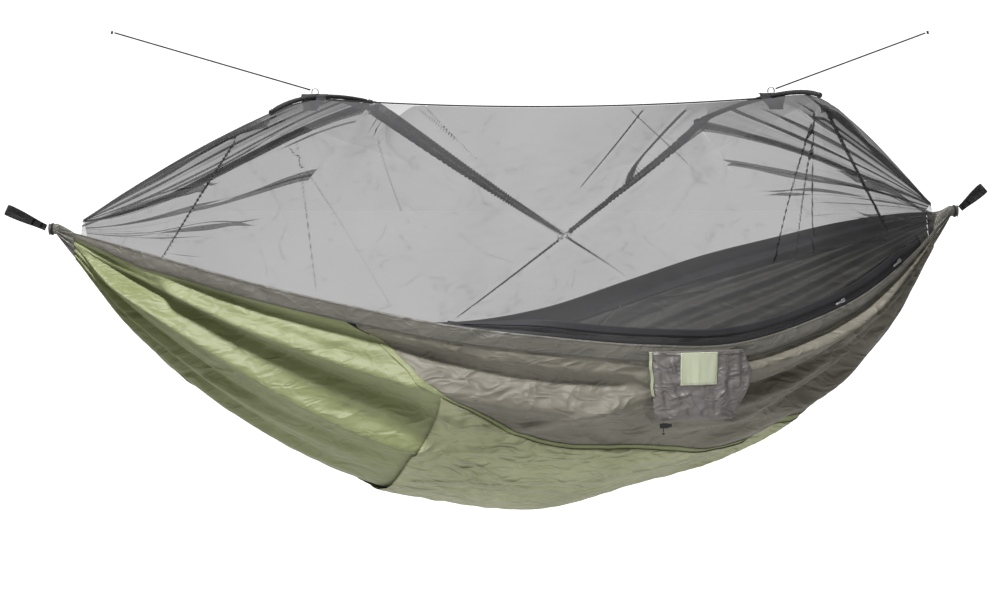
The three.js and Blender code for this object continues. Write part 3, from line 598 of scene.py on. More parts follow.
def overhand_knot(name, centre, along_cord, radius, cord_radius):
    """A three-turn knot; it stands where the cord ends."""
    t = np.linspace(0, 2 * math.pi, 90)
    size = radius / 3.4
    x = size * (np.sin(t) + 2 * np.sin(2 * t)) * 0.8
    y = size * (np.cos(t) - 2 * np.cos(2 * t)) * 0.8
    z = -size * np.sin(3 * t) * 1.1
    ahead = unit(np.array(along_cord, float))
    side = unit(np.cross(ahead, (0, 1, 0.02)))
    over = np.cross(ahead, side)
    points = np.array(centre) + x[:, None] * side + y[:, None] * over + z[:, None] * ahead
    return cord_tube(name, points, cord_radius, 8, cord_black)


guy_radius = 0.002
knot_radius = 0.0055
knot_cord = 0.0012
for name in ("left", "right"):
    low, high = box_of(f"{name}_guy_line")
    inset = guy_radius * 0.6
    start = np.array([high[0] - inset if name == "left" else low[0] + inset, 0, low[2] + inset])
    end = np.array([low[0] + inset if name == "left" else high[0] - inset, 0, high[2] - inset])
    route = np.array([mix(start, end, t) for t in np.linspace(0, 1, 30)])
    line = cord_tube(f"{name}_guy_cord", route, guy_radius, 10, cord_black)
    knot_low, knot_high = box_of(f"{name}_guy_knot")
    knot = overhand_knot(f"{name}_guy_cord_knot", (knot_low + knot_high) / 2, end - start,
                         knot_radius, knot_cord)
    ride_as(line, "suspension", [f"{name}_guy_line"])
    ride_as(knot, "suspension", [f"{name}_guy_knot"])
    reach = float(np.linalg.norm(end - start))
    print(name, "guy line", round(reach, 3), "m")

# %% Ridge cord
ridge_ends = (left_rod[1] + (0.027, 0, -0.006), right_rod[1] + (-0.027, 0, -0.006))
ridge_sag = 0.020
ridge_radius = 0.002


def ridge_at(t):
    t = np.asarray(t, float)
    line = mix(ridge_ends[0], ridge_ends[1], t[..., None])
    line[..., 2] -= ridge_sag * 4 * t * (1 - t)
    return line


ridge_cord = cord_tube("ridge_line", ridge_at(np.linspace(0, 1, 60)), ridge_radius, 10, cord_black)
ride_as(ridge_cord, "suspension", ["ridge_cord"])
print("ridge cord spans", round(float(np.linalg.norm(ridge_ends[1] - ridge_ends[0])), 3), "m")

# %% [markdown]
# ## The bed's surface
# A gathered-end hammock is one cloth pulled into a fist at each end. Its ribs are half ellipses
# between the two rims, whose spread and drop are read from a track. One function places any point
# of the cloth, and a second adds the folds, so that all layers crease together.

# %% Ribs of the bed
gather_left = np.array([0.122, 0, -0.047])
gather_span = 2.339
gather_rise = 0.047
half_spread = 0.414
keel_drop = 0.757
rib = track([
    [0, 0, 0, 0, 0, 0.021],
    [0.029, 0.092, 0.017, 0.101, 0.038, 0.137],
    [0.076, 0.225, 0.05, 0.271, 0.108, 0.317],
    [0.14, 0.391, 0.099, 0.435, 0.198, 0.513],
    [0.226, 0.597, 0.164, 0.604, 0.287, 0.719],
    [0.333, 0.79, 0.236, 0.768, 0.375, 0.892],
    [0.44, 0.925, 0.3, 0.93, 0.412, 0.978],
    [0.546, 0.976, 0.343, 1.024, 0.374, 1],
    [0.653, 0.935, 0.379, 1.022, 0.272, 0.896],
    [0.739, 0.833, 0.388, 0.937, 0.182, 0.797],
    [0.824, 0.652, 0.332, 0.778, 0.111, 0.65],
    [0.897, 0.43, 0.244, 0.536, 0.049, 0.449],
    [0.953, 0.205, 0.129, 0.29, 0.015, 0.238],
    [1, 0, 0, 0, 0, 0.021],
])
near_seam = track([
    [0, 0], [0.3, 0.004], [0.338, 0.032], [0.435, 0.115], [0.53, 0.18], [0.647, 0.218],
    [0.73, 0.27], [0.8, 0.35], [0.87, 0.44], [1, 0.56],
])
sleeve_mouth = track([[0.09, 0.441], [0.21, 0.422], [0.3, 0.4], [0.45, 0.372], [0.8, 0.29]])


def far_seam(s):
    return 1 - near_seam(1 - np.asarray(s, float))


def hang(s):
    s = np.asarray(s, float)
    return stack(gather_left[0] + gather_span * s, 0 * s, gather_left[2] + gather_rise * s)


def near_rim(s):
    return hang(s) + stack(0 * s, -half_spread * rib(s, 1), -keel_drop * rib(s, 2))


def far_rim(s):
    return hang(s) + stack(0 * s, half_spread * rib(s, 3), -keel_drop * rib(s, 4))


def bed(s, v):
    s, v = np.broadcast_arrays(np.asarray(s, float), np.asarray(v, float))
    near, far = near_rim(s), far_rim(s)
    middle, across = (near + far) / 2, (far - near) / 2
    down = hang(s) + stack(0 * s, 0 * s, -keel_drop * rib(s, 5)) - middle
    turn = np.pi * v[..., None]
    return middle - across * np.cos(turn) + down * np.sin(turn)


def bed_out(s, v):
    """The direction out of the bed, away from whoever lies in it."""
    step = 0.002
    along = bed(s + step, v) - bed(s - step, v)
    round_bed = bed(s, v + step) - bed(s, v - step)
    return unit(np.cross(round_bed, along))


def round_from(s, v, length):
    step = 0.004
    speed = np.linalg.norm(bed(s, v + step) - bed(s, v), axis=-1) / step
    return v + length / speed


print("bed is", round(float(far_rim(0.546)[1] - near_rim(0.546)[1]), 3), "m wide at the middle")


# %% Folds of the bed
def fold_line(s, v, rows, width, height, fade):
    """One crease along the bed: rows are its (s, v) track, width its half width in v."""
    centre = track(rows)(np.clip(s, rows[0][0], rows[-1][0]))
    inside = smooth(rows[0][0] - fade, rows[0][0] + fade, s) * (
        1 - smooth(rows[-1][0] - fade, rows[-1][0] + fade, s))
    return height * inside * ridge((v - centre) / width)


def pleats(s, v):
    """The many creases that run out of both gathers and die away towards the middle."""
    total = 0
    for end, first, last, count, seed in ((s, 0.03, 0.42, 12, 1.0), (1 - s, 0.03, 0.46, 13, 2.6)):
        size = smooth(0.0, first + 0.06, end) * (1 - smooth(0.14, last, end))
        turn = 2 * np.pi * (count * v + 0.6 * np.sin(5.1 * v + seed) + 0.28 * np.sin(14 * v + 2 * seed))
        turn = turn + 1.1 * np.sin(3 * end + 6 * v)
        crest = np.sin(turn) + 0.35 * np.sin(2 * turn + 0.6) + 0.16 * np.sin(3.1 * turn + seed)
        total = total + 0.0125 * size * crest
    return total * (1 - 0.6 * smooth(0.05, 0.1, s) * (1 - smooth(0.4, 0.46, s)) * (1 - smooth(0.25, 0.31, v)))


# Each crease: its track of (s, v), half width in v, height in metres and fade at its ends in s.
bed_creases = (
    # Two strong ridges and the valley between them, on the near side of the left half.
    ([[0.05, 0.18], [0.125, 0.182], [0.2, 0.191], [0.27, 0.206], [0.33, 0.222], [0.42, 0.238]],
     0.019, 0.038, 0.03),
    ([[0.13, 0.092], [0.2, 0.096], [0.27, 0.097], [0.33, 0.103], [0.42, 0.106]], 0.012, 0.027, 0.012),
    ([[0.06, 0.136], [0.16, 0.132], [0.27, 0.141], [0.33, 0.15], [0.42, 0.166]], 0.019, -0.036, 0.04),
    # The cloth falls back under the rim hem, which leaves it in shade.
    ([[0.15, 0.056], [0.25, 0.054], [0.34, 0.054], [0.43, 0.06]], 0.013, -0.026, 0.05),
    # The near side panel rolls over a long crease and carries the sack's pull.
    ([[0.4, 0.064], [0.52, 0.072], [0.64, 0.074]], 0.015, -0.024, 0.04),
    ([[0.4, 0.112], [0.52, 0.118], [0.64, 0.122]], 0.018, 0.024, 0.04),
    ([[0.5, 0.17], [0.58, 0.13], [0.64, 0.1]], 0.01, 0.012, 0.03),
    # Long creases from the sack to the right gather.
    ([[0.68, 0.055], [0.8, 0.06], [0.93, 0.09]], 0.012, 0.017, 0.05),
    ([[0.7, 0.1], [0.82, 0.13], [0.94, 0.17]], 0.016, -0.019, 0.05),
    ([[0.72, 0.17], [0.84, 0.24], [0.95, 0.3]], 0.02, 0.018, 0.05),
)


def folds(s, v):
    s, v = np.broadcast_arrays(np.asarray(s, float), np.asarray(v, float))
    out = pleats(s, v)
    for rows, width, height, fade in bed_creases:
        out = out + fold_line(s, v, rows, width, height, fade)
    # Small uneven puckers everywhere, finest near the rim.
    out = out + 0.0014 * ripple(s * 90, v * 60, 1.3) + 0.0007 * ripple(s * 230, v * 130, 4.1)
    return out * smooth(0, 0.05, v) * smooth(0, 0.05, 1 - v)


def bed_layer(s, v, lift, extra=0):
    """Points of a layer that lies lift outside the creased bed."""
    return bed(s, v) + bed_out(s, v) * (folds(s, v) + lift + extra)[..., None]


trial = folds(np.linspace(0, 1, 90)[:, None], np.linspace(0, 1, 60)[None])
print("deepest crease:", round(float(np.abs(trial).max()), 4), "m")

# %% [markdown]
# ## Bed panels, sleeve, hems and tapes
# The bed is sewn from a green bottom and two taupe sides, with a second green layer below that makes
# a pocket for a sleeping mat. Each is a grid on the bed's surface, lifted by its place in the stack,
# and thickened a little so that its edges are real.

# %% Layers of the bed
panel_start = 0.022
panel_end = 0.979
near_start = 0.345
hem_width = 0.042
cloth_thick = 0.0006
panel_lift = 0.0006
seam_clear = 0.0025
hem_edge = 0.001


def hem_reach(s):
    return np.minimum(hem_width, 0.4 * np.minimum(s, 1 - s))


def lower_hem(s):
    return round_from(s, 0 * s, hem_edge)


def upper_hem(s):
    return round_from(s, 0 * s + 1, -hem_edge)


def bed_sheet(name, s, v, lift, material, thickness, extra=0, lining=None):
    points = bed_layer(s, v, lift, extra)
    plain = bed(s, v)
    piece = cloth(name, points, threads(plain), lining or material)
    if lining:
        piece.data.materials.append(material)
    return thicken(piece, thickness, 1 if lining else 0)


def spread_grid(s0, s1, columns, rows):
    return np.meshgrid(np.linspace(s0, s1, columns + 1), np.linspace(0, 1, rows + 1), indexing="ij")


# Each panel's inner face takes the darker lining, which is painted shade for the inside of the bed.
s, b = spread_grid(panel_start, panel_end, 300, 150)
v_low = np.maximum(round_from(s, near_seam(s), seam_clear), lower_hem(s))
v_high = np.minimum(round_from(s, far_seam(s), -seam_clear), upper_hem(s))
bottom = bed_sheet("bed_bottom", s, mix(v_low, v_high, b), panel_lift, green, cloth_thick,
                   lining=lining_painted_shade)

s, b = spread_grid(near_start, panel_end, 240, 60)
v = mix(lower_hem(s), round_from(s, near_seam(s), -seam_clear), b)
near_side = bed_sheet("bed_near_side", s, v, panel_lift, taupe, cloth_thick, lining=lining_painted_shade)

s, b = spread_grid(panel_start, 1 - near_start, 240, 60)
v = mix(round_from(s, far_seam(s), seam_clear), upper_hem(s), b)
far_side = bed_sheet("bed_far_side", s, v, panel_lift, taupe, cloth_thick, lining=lining_painted_shade)

# %% Mat sleeve
sleeve_from = 0.44
sleeve_to = 0.93
sleeve_lift = 0.0064
sleeve_gap = 0.0045
a, b = spread_grid(0, 1, 230, 110)
guess = mix(sleeve_from, sleeve_to, a)
edge_v = mix(near_seam(guess), far_seam(guess), b)
s = mix(sleeve_mouth(np.clip(edge_v, 0.09, 0.8)), sleeve_to, a)
v_low = round_from(s, near_seam(s), sleeve_gap)
v_high = round_from(s, 0 * s + 1, -hem_reach(s) - 0.004)
v_high = np.minimum(round_from(s, far_seam(s), -sleeve_gap), v_high)
v = mix(v_low, v_high, b)
gape = 0.006 * (1 - smooth(0, 0.1, a)) * np.sin(np.pi * b)
crinkle = 0.0016 * ripple(s * 170 + 30 * v, v * 46, 2.2) * (1 - 0.6 * smooth(0.1, 0.5, a))
pucker = 0.0013 * np.sin(2 * np.pi * s * 75 + 3 * np.sin(9 * s)) * ridge(b / 0.07)
calm = np.sin(np.pi * np.clip(b, 0, 1)) ** 0.3
sleeve = bed_sheet("mat_pocket", s, v, sleeve_lift, outer_green, cloth_thick,
                   (crinkle + pucker) * calm + gape)
mouth_edge = bed_layer(s[0], v[0], sleeve_lift, gape[0] + (crinkle + pucker)[0] * calm[0])
for piece, node, slot in (
    (bottom, "bottom_panel", "green_ripstop"), (near_side, "near_side_panel", "taupe_ripstop"),
    (far_side, "far_side_panel", "taupe_ripstop"), (sleeve, "mat_sleeve", "green_ripstop"),
):
    ride_as(piece, "bed", [node])
print("bed panels:", sum(len(p.data.polygons) for p in (bottom, near_side, far_side, sleeve)), "faces")

# %% Hems, seam tapes and the net band
hem_lift = 0.0034
hem_thick = 0.0013
band_depth = 0.066
s, b = spread_grid(panel_start, panel_end, 320, 9)
roll = 0.0012 * np.sin(np.pi * b) + 0.0005 * ripple(s * 150, b * 3, 3.7)
v = mix(round_from(s, 0 * s, -hem_edge), round_from(s, 0 * s, hem_reach(s)), b)
near_hem = bed_sheet("near_rim_fold", s, v, hem_lift, hem_taupe, hem_thick, roll)
v = mix(round_from(s, 0 * s + 1, -hem_reach(s)), round_from(s, 0 * s + 1, hem_edge), b)
far_hem = bed_sheet("far_rim_fold", s, v, hem_lift, hem_taupe, hem_thick, roll)
s, b = spread_grid(0.06, 0.94, 260, 12)
v = mix(round_from(s, 0 * s + 1, -band_depth), 0 * s + 1, b)
far_band_piece = bed_sheet("far_band", s, v, -0.0042, band, 0.0008)
tape_half = 0.007
tapes = {}
for name, s0, s1, seam in (("near", near_start + 0.012, 0.965, near_seam),
                           ("far", 0.035, 1 - near_start - 0.012, far_seam)):
    s, b = spread_grid(s0, s1, 300, 5)
    v = mix(round_from(s, seam(s), -tape_half), round_from(s, seam(s), tape_half), b)
    tapes[name] = bed_sheet(f"{name}_seam_binding", s, v, 0.0029, green, 0.0006)
for piece, node, slot in (
    (near_hem, "near_rim_hem", "taupe_ripstop"), (far_hem, "far_rim_hem", "taupe_ripstop"),
    (far_band_piece, "far_net_band", "dark_band"), (tapes["near"], "near_seam_tape", "pale_binding"),
    (tapes["far"], "far_seam_tape", "pale_binding"),
):
    ride_as(piece, "bed", [node])
print("hems and tapes follow", round(float(run_along(near_rim(np.linspace(0, 1, 200)))[-1]), 2), "m of rim")

# %% [markdown]
# ## Stitches
# Sewing thread is far too fine to model as one cord. A stitch seen from outside is a short rounded
# grain of thread, so one grain is made and set down along each seam at the machine's pitch.


# %% Stitches
def copies(name, verts, faces, places, bases, material):
    """One small shape set down at many places, each with its own turned axes."""
    verts = np.array(verts, float)
    points = np.einsum("nij,kj->nki", bases, verts) + np.array(places)[:, None]
    count = len(verts)
    all_faces = []
    for n in range(len(places)):
        all_faces += [[n * count + k for k in face] for face in faces]
    mesh = bpy.data.meshes.new(name)
    mesh.from_pydata(points.reshape(-1, 3).tolist(), [], all_faces)
    return finished(mesh, name, material)


def even_steps(path, pitch):
    path = np.array(path)
    run = run_along(path)
    apart = np.concatenate([[True], np.diff(run) > 1e-9])
    path = path[apart]
    run = run[apart]
    at = np.arange(pitch / 2, run[-1], pitch)
    places = np.stack([np.interp(at, run, path[:, k]) for k in range(3)], axis=-1)
    ahead = np.stack([np.interp(at, run, np.gradient(path[:, k], run)) for k in range(3)], axis=-1)
    return places, unit(ahead)


stitch_half = 0.0011
stitch_wide = 0.0004
stitch_verts = [(-stitch_half, 0, -0.0001)]
for end in (-0.6, 0.6):
    stitch_verts += [(end * stitch_half, stitch_wide * math.cos(q), stitch_wide * math.sin(q))
                     for q in (0.5, 2.6, 4.7)]
stitch_verts.append((stitch_half, 0, -0.0001))
stitch_faces = [(0, 2, 1), (0, 3, 2), (0, 1, 3), (1, 2, 5, 4), (2, 3, 6, 5), (3, 1, 4, 6), (4, 5, 7),
                (5, 6, 7), (6, 4, 7)]


def stitch_row(name, path, up, body, material=thread_dark, pitch=0.0034):
    places, ahead = even_steps(path, pitch)
    up = unit(np.broadcast_to(np.array(up, float), ahead.shape))
    side = unit(np.cross(up, ahead))
    bases = np.stack([ahead, side, np.cross(ahead, side)], axis=-1)
    piece = copies(name, stitch_verts, stitch_faces, places, bases, material)
    return ride_as(piece, body, [])


hem_s = np.linspace(0.03, 0.97, 500)
stitch_count = 0
for name, side, low_end, lift in (
    ("near_hem_stitches", 0, 0.004, 0.0052),
    ("near_hem_edge_stitches", 0, 0.0385, 0.0048),
    ("far_hem_edge_stitches", 1, 0.0385, 0.0048),
):
    share = low_end * hem_reach(hem_s) / hem_width
    v = round_from(hem_s, 0 * hem_s + side, share if side == 0 else -share)
    row = stitch_row(name, bed_layer(hem_s, v, lift), (0, -1 if side == 0 else 1, 0), "bed")
    stitch_count += len(row.data.polygons) // len(stitch_faces)
for name, s0, s1, seam, shift in (
    ("near_tape_stitches_low", 0.36, 0.96, near_seam, 0.0045),
    ("near_tape_stitches_high", 0.36, 0.96, near_seam, -0.0045),
    ("far_tape_stitches", 0.04, 0.64, far_seam, 0.0045),
):
    run = np.linspace(s0, s1, 420)
    v = round_from(run, seam(run), shift)
    row = stitch_row(name, bed_layer(run, v, 0.0036), (0, -0.6, -0.8), "bed", thread_pale)
    stitch_count += len(row.data.polygons) // len(stitch_faces)
stitch_row("mouth_stitches", mouth_edge + (0.010, 0, -0.0008), (-0.4, -0.7, -0.7), "bed", thread_pale)
print("stitches along hems and tapes:", stitch_count)

# %% [markdown]
# ## Gathered ends
# At each end the whole width of cloth is pulled into a fist and bound with cord. The fist is a loft
# from the bed's rib to a small ring, with deep pleats whose number stays the same while the ring
# shrinks, so they tighten as they do in cloth.

# %% Pleated ends and whipping
neck_radius = 0.013
neck_length = 0.020
whip_radius = 0.0147
whip_cord = 0.0013
whip_rounds = 2
span_way = unit(np.array([gather_span, 0, gather_rise]))
span_up = np.cross(span_way, (0, 1, 0))


def pleated_end(name, s, side):
    around = 220
    under = 150
    gather = hang(0.0 if side < 0 else 1.0)
    rim = bed(np.full(under, s), np.linspace(0, 1, under))
    across = around - under
    top = mix(rim[-1], rim[0], np.linspace(0, 1, across + 2)[1:-1, None])
    mouth = np.concatenate([rim, top])
    turn = np.concatenate([np.pi * np.linspace(0, 1, under),
                           np.pi * (1 + np.linspace(0, 1, across + 2)[1:-1])])
    ring = -np.cos(turn)[:, None] * np.array((0, 1, 0)) - np.sin(turn)[:, None] * span_up
    pleat = np.sin(19 * turn + 1.2 * np.sin(3 * turn)) + 0.4 * np.sin(41 * turn + 1)
    rings = []
    for t in np.linspace(0, 1, 34):
        gone = smooth(0, 1, t) * 0.35 + t * 0.65
        base = mix(mouth, gather + ring * neck_radius * 1.1, gone)
        rings.append(base + ring * pleat[:, None] * 0.0024 * math.sin(math.pi * t) ** 0.6)
    for share, swell, depth in (
        (0.25, 0.97, 0.0008), (0.5, 0.93, 0.0006), (0.75, 0.97, 0.0008), (1.0, 1.06, 0.0016),
    ):
        centre = gather + span_way * side * neck_length * share
        rings.append(centre + ring * (neck_radius * swell + pleat[:, None] * depth))
    tucked = rings[-1] * 0.45 + (gather + span_way * side * neck_length * 0.9) * 0.55
    rings.append(tucked)
    rings.append(np.repeat((gather + span_way * side * neck_length * 0.86)[None], around, axis=0)
                 + ring * 0.0002)
    mesh = tube_mesh(name, np.array(rings))
    turned_outwards(mesh)
    return finished(mesh, name, hem_taupe)


for side_name, s_end, side in (("left", panel_start - 0.0006, -1), ("right", panel_end + 0.0006, 1)):
    bunch = pleated_end(f"{side_name}_gather", s_end, side)
    ride_as(bunch, "bed", [f"{side_name}_end_bunch"])
    turns = np.linspace(0, whip_rounds * 2 * math.pi, 120)
    run = neck_length * 0.42 + turns / (2 * math.pi) * 0.003
    centre = hang(0.0 if side < 0 else 1.0) + span_way * side * run[:, None]
    round_neck = np.cos(turns)[:, None] * np.array((0, 1, 0)) + np.sin(turns)[:, None] * span_up
    helix = centre + whip_radius * round_neck
    whip = cord_tube(f"{side_name}_whipping", helix, whip_cord, 8, cord_black)
    ride_as(whip, "bed", [f"{side_name}_whipping_cord"])
print("gathers at", np.round(hang(0.0), 3), np.round(hang(1.0), 3))


# %% [markdown]
# ## Webbing loops
# Each end hangs by a loop of flat webbing, sewn back on itself with bar tacks. A ribbon helper sweeps
# a flat section along a path, since a strap keeps its width however it turns.

# %% Ribbon helper
def ribbon(name, path, across, width, thickness, material, columns=6):
    """A flat strap: path is its middle line, across the direction of its width."""
    path = np.array(path, float)
    count = len(path)
    across = unit(np.broadcast_to(np.array(across, float), path.shape))
    ahead = unit(np.gradient(path, axis=0))
    normal = unit(np.cross(ahead, across))
    width = np.broadcast_to(np.array(width, float), (count,))
    share = np.linspace(-0.5, 0.5, columns + 1)
    bulge = 1 - 0.5 * np.abs(2 * share) ** 6
    points = path[:, None] + across[:, None] * (width[:, None] * share[None])[..., None]
    low = points - normal[:, None] * (thickness / 2 * bulge)[None, :, None]
    high = points + normal[:, None] * (thickness / 2 * bulge)[None, :, None]
    section = np.concatenate([low, high[:, ::-1]], axis=1)
    around = section.shape[1]
    mesh = tube_mesh(name, section)
    run = run_along(path)
    sideways = np.concatenate([share, share[::-1]])
    spots = np.arange(count * around)
    set_thread(mesh, np.stack([sideways[spots % around] * width[spots // around], run[spots // around]], -1))
    turned_outwards(mesh)
    return finished(mesh, name, material)


# %% Suspension loops
strap_width = 0.027
strap_thick = 0.0018
strap_clear = 0.0095
eye_radius = 0.009
for side_name, eye, side in (("left", np.zeros(3), -1), ("right", hang(1.0) + (0.080, 0, 0.055), 1)):
    neck = hang(0.0 if side < 0 else 1.0) + span_way * side * neck_length
    back = unit(neck - eye)
    reach = float(np.linalg.norm(neck - eye)) - strap_clear
    out = np.array((0.0, 1.0, 0.0))
    rise = np.cross(back, out)
    layer_off = 0.0002 + strap_thick / 2
    turn_off = eye_radius + strap_thick / 2
    legs = [(reach, layer_off), (reach * 0.75, layer_off), (reach * 0.5, layer_off + 0.0004)]
    legs += [(reach * t, mix(turn_off, layer_off, smooth(0, 0.5, t))) for t in (0.42, 0.33, 0.24, 0.16, 0.08)]
    arc = [(-turn_off * math.sin(q), turn_off * math.cos(q)) for q in np.linspace(0, math.pi, 24)]
    flat = np.array(legs + arc + [(x, -y) for x, y in legs[::-1]])
    fine_run = run_along(flat)
    steps = np.linspace(0, fine_run[-1], 120)
    flat = np.stack([np.interp(steps, fine_run, flat[:, 0]), np.interp(steps, fine_run, flat[:, 1])], -1)
    path = eye + flat[:, :1] * back + flat[:, 1:] * out
    pinch = mix(1.0, 0.62, smooth(0.25, 1.0, np.clip(flat[:, 0] / reach, 0, 1)))
    loop = ribbon(f"{side_name}_webbing_loop", path, rise, strap_width * pinch * 0.99, strap_thick,
                  webbing, 8)
    ride_as(loop, "suspension", [f"{side_name}_suspension_loop"])
    tack = np.linspace(0, 1, 60)
    tack_off = layer_off + strap_thick / 2 + 0.0002
    for number, start in enumerate((0.62, 0.84)):
        zig = np.stack([reach * (start + 0.05 * (np.arange(60) % 2)), 0 * tack, 0.0085 * (1 - 2 * tack)], -1)
        for face_name, face in (("near", -1), ("far", 1)):
            place = eye + zig[:, :1] * back + zig[:, 2:] * rise + out * face * tack_off
            sewn = cord_tube(f"{side_name}_bar_tack_{number}_{face_name}", place, 0.0004, 5, thread_dark)
            ride_as(sewn, "suspension", [])
    print(side_name, "loop reach", round(reach, 3), "m")

# %% [markdown]
# ## Zip
# The near rim carries a coil zip: two tapes with a nylon coil sewn to each. One loop of the coil is
# modelled and copied along the rim, the two rows half a pitch apart so that they mesh.

# %% Rim frame, tapes and teeth
zip_start = 0.44
zip_end = 0.962


def rim_frame(s):
    step = 0.003
    along = unit(near_rim(s + step) - near_rim(s - step))
    out = unit(np.cross(along, np.broadcast_to((0.0, 0.0, 1.0), along.shape)))
    up = np.cross(out, along)
    lean = (1.35 * (1 - smooth(zip_start + 0.01, zip_start + 0.15, s)))[..., None]
    return near_rim(s), along, up * np.cos(lean) - out * np.sin(lean), out * np.cos(lean) + up * np.sin(lean)


def zip_fade(s):
    """From 0 at both ends of the zip to 1 along it."""
    return smooth(zip_start, zip_start + 0.04, s) * (1 - smooth(zip_end - 0.03, zip_end, s))


def rim_strip(name, w0, w1, t, thickness, material, sway, tapers):
    s, b = spread_grid(zip_start, zip_end, 240, 5)
    origin, _, width, out = rim_frame(s)
    wiggle = sway * ripple(s * 120, b * 2, 1.9)
    rise = mix(w0, w1, b)
    if tapers:
        rise = rise * mix(0.5, 1, zip_fade(s))
    points = origin + width * rise[..., None] + out * (t + wiggle)[..., None]
    return thicken(cloth(name, points, threads(points), material), thickness)


for name, node, w0, w1, t, thickness, sway in (
    ("zip_tape_low", "lower_zip_tape", 0.001, 0.0092, 0, 0.0006, 0.0),
    ("zip_tape_high", "upper_zip_tape", 0.0192, 0.0274, 0, 0.0006, 0.0),
    ("net_hem", "near_net_hem", 0.0234, 0.0414, 0.0021, 0.0008, 0.0004),
):
    piece = rim_strip(name, w0, w1, t, thickness, band, sway, name == "net_hem")
    ride_as(piece, "bed", [node])

tooth_pitch = 0.0018
tooth_verts = []
for end, size in ((-0.0026, 0.55), (-0.0022, 1.0), (0.0022, 1.0), (0.0026, 0.55)):
    tooth_verts += [(0.00062 * size * math.cos(q), end, 0.001 * size * math.sin(q))
                    for q in np.linspace(0, 2 * math.pi, 6, endpoint=False)]
tooth_faces = [[6 * k + j, 6 * k + (j + 1) % 6, 6 * k + 6 + (j + 1) % 6, 6 * k + 6 + j]
               for k in range(3) for j in range(6)]
tooth_faces += [[5, 4, 3, 2, 1, 0], [18, 19, 20, 21, 22, 23]]
for name, node, middle, shift in (("zip_coil_low", "lower_zip_coil", 0.0119, 0.0),
                                  ("zip_coil_high", "upper_zip_coil", 0.0165, 0.5)):
    fine_s = np.linspace(zip_start, zip_end, 600)
    origin, along, width, out = rim_frame(fine_s)
    line = origin + width * middle
    places, ahead = even_steps(line, tooth_pitch)
    places = places + ahead * tooth_pitch * shift
    at = np.interp(places[:, 0], line[:, 0], fine_s)
    _, along, width, out = rim_frame(at)
    teeth = copies(name, tooth_verts, tooth_faces, places, np.stack([along, width, out], axis=-1), coil_black)
    ride_as(teeth, "bed", [node])
    print(name, len(places), "turns")


# %% [markdown]
# ## Sliders, pulls and cord lock
# These small cast and moulded pieces already have their shape in CAD. Each is copied, its loose
# triangles are merged and its sharp edges are rounded. The lock's spring shortens as its button goes
# in, and here it gets a mesh of its own.


# %% Rounded copies of small CAD pieces
def rounded(node, name, bevel, material, segments=2):
    """A copy of a CAD piece, merged, with its sharp edges rounded."""
    source = frame["nodes"][node]
    mesh = source.data.copy()
    mesh.name = name
    mesh.materials.clear()
    piece = bpy.data.objects.new(name, mesh)
    bpy.context.collection.objects.link(piece)
    piece.matrix_world = source.matrix_world
    bpy.context.view_layer.update()
    mesh.transform(piece.matrix_world)
    piece.matrix_world.identity()
    work = bmesh.new()
    work.from_mesh(mesh)
    bmesh.ops.remove_doubles(work, verts=work.verts, dist=1e-6)
    bmesh.ops.dissolve_limit(work, angle_limit=math.radians(2), verts=work.verts, edges=work.edges)
    work.to_mesh(mesh)
    work.free()
    mesh.materials.append(material)
    apply_modifier(piece, "BEVEL", width=bevel, segments=segments, limit_method="ANGLE",
                   angle_limit=math.radians(35))
    bpy.ops.object.shade_smooth_by_angle(angle=math.radians(40))
    carrier = next(body for body, parts in frame["record"]["behaviour"]["bodies"].items() if node in parts)
    return ride_as(piece, carrier, [node])


for side_name in ("left", "right"):
    rounded(f"{side_name}_zip_slider", f"{side_name}_slider", 0.0003, silver)
    rounded(f"{side_name}_zip_pull", f"{side_name}_pull", 0.00025, silver)
rounded("cord_lock_body", "lock_barrel", 0.0009, plastic, 3)
rounded("cord_lock_button", "lock_plunger", 0.0005, plastic, 3)
lock_spring = rounded("cord_lock_spring", "lock_spring", 0.00006, silver, 1)
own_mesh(lock_spring)
print("sliders, pulls and lock rounded")

# %% [markdown]
# ## Spreader rods
# Two short fibreglass rods arch over the bed and hold the net open. Each runs in a cloth sleeve, with
# a moulded cap on both ends, a patch over the middle and a webbing tab for its guy line.

# %% Rods, sleeves and caps
rod_radius = 0.0042
sleeve_out = 0.0061
cap_radius = 0.0065
cap_length = 0.016
cap_grip = 0.009 + 0.0004


def moulded_cap(name, base, way):
    """A cap on a rod's end: a cylinder with both ends rounded and a groove for the net's edge."""
    bpy.ops.object.select_all(action="DESELECT")
    bpy.ops.mesh.primitive_cylinder_add(vertices=28, radius=cap_radius, depth=cap_length)
    cap = bpy.context.active_object
    cap.name = name
    bpy.ops.object.mode_set(mode="EDIT")
    bpy.ops.mesh.select_all(action="DESELECT")
    work = bmesh.from_edit_mesh(cap.data)
    for face in work.faces:
        face.select = abs(face.normal.z) > 0.9
    bmesh.update_edit_mesh(cap.data)
    bpy.ops.mesh.bevel(offset=cap_radius * 0.4, segments=4, affect="EDGES")
    bpy.ops.mesh.select_all(action="SELECT")
    bpy.ops.mesh.bisect(plane_co=(0, 0, 0), plane_no=(0, 0, 1))
    bpy.ops.mesh.bevel(offset=0.0008, segments=2, affect="EDGES")
    work = bmesh.from_edit_mesh(cap.data)
    for spot in work.verts:
        spot.select = abs(spot.co.z) < 0.0003
    bmesh.update_edit_mesh(cap.data)
    bpy.ops.transform.resize(value=(0.88, 0.88, 1), center_override=(0, 0, 0))
    bpy.ops.object.mode_set(mode="OBJECT")
    side = unit(np.cross(way, (0.1, 0.2, 1.0)))
    turn = np.stack([side, np.cross(way, side), way])
    spots = np.array([v.co for v in cap.data.vertices]) + (0, 0, cap_length / 2)
    set_points(cap.data, base + spots @ turn)
    cap.data.materials.append(plastic)
    bpy.ops.object.shade_smooth_by_angle(angle=math.radians(40))
    return cap


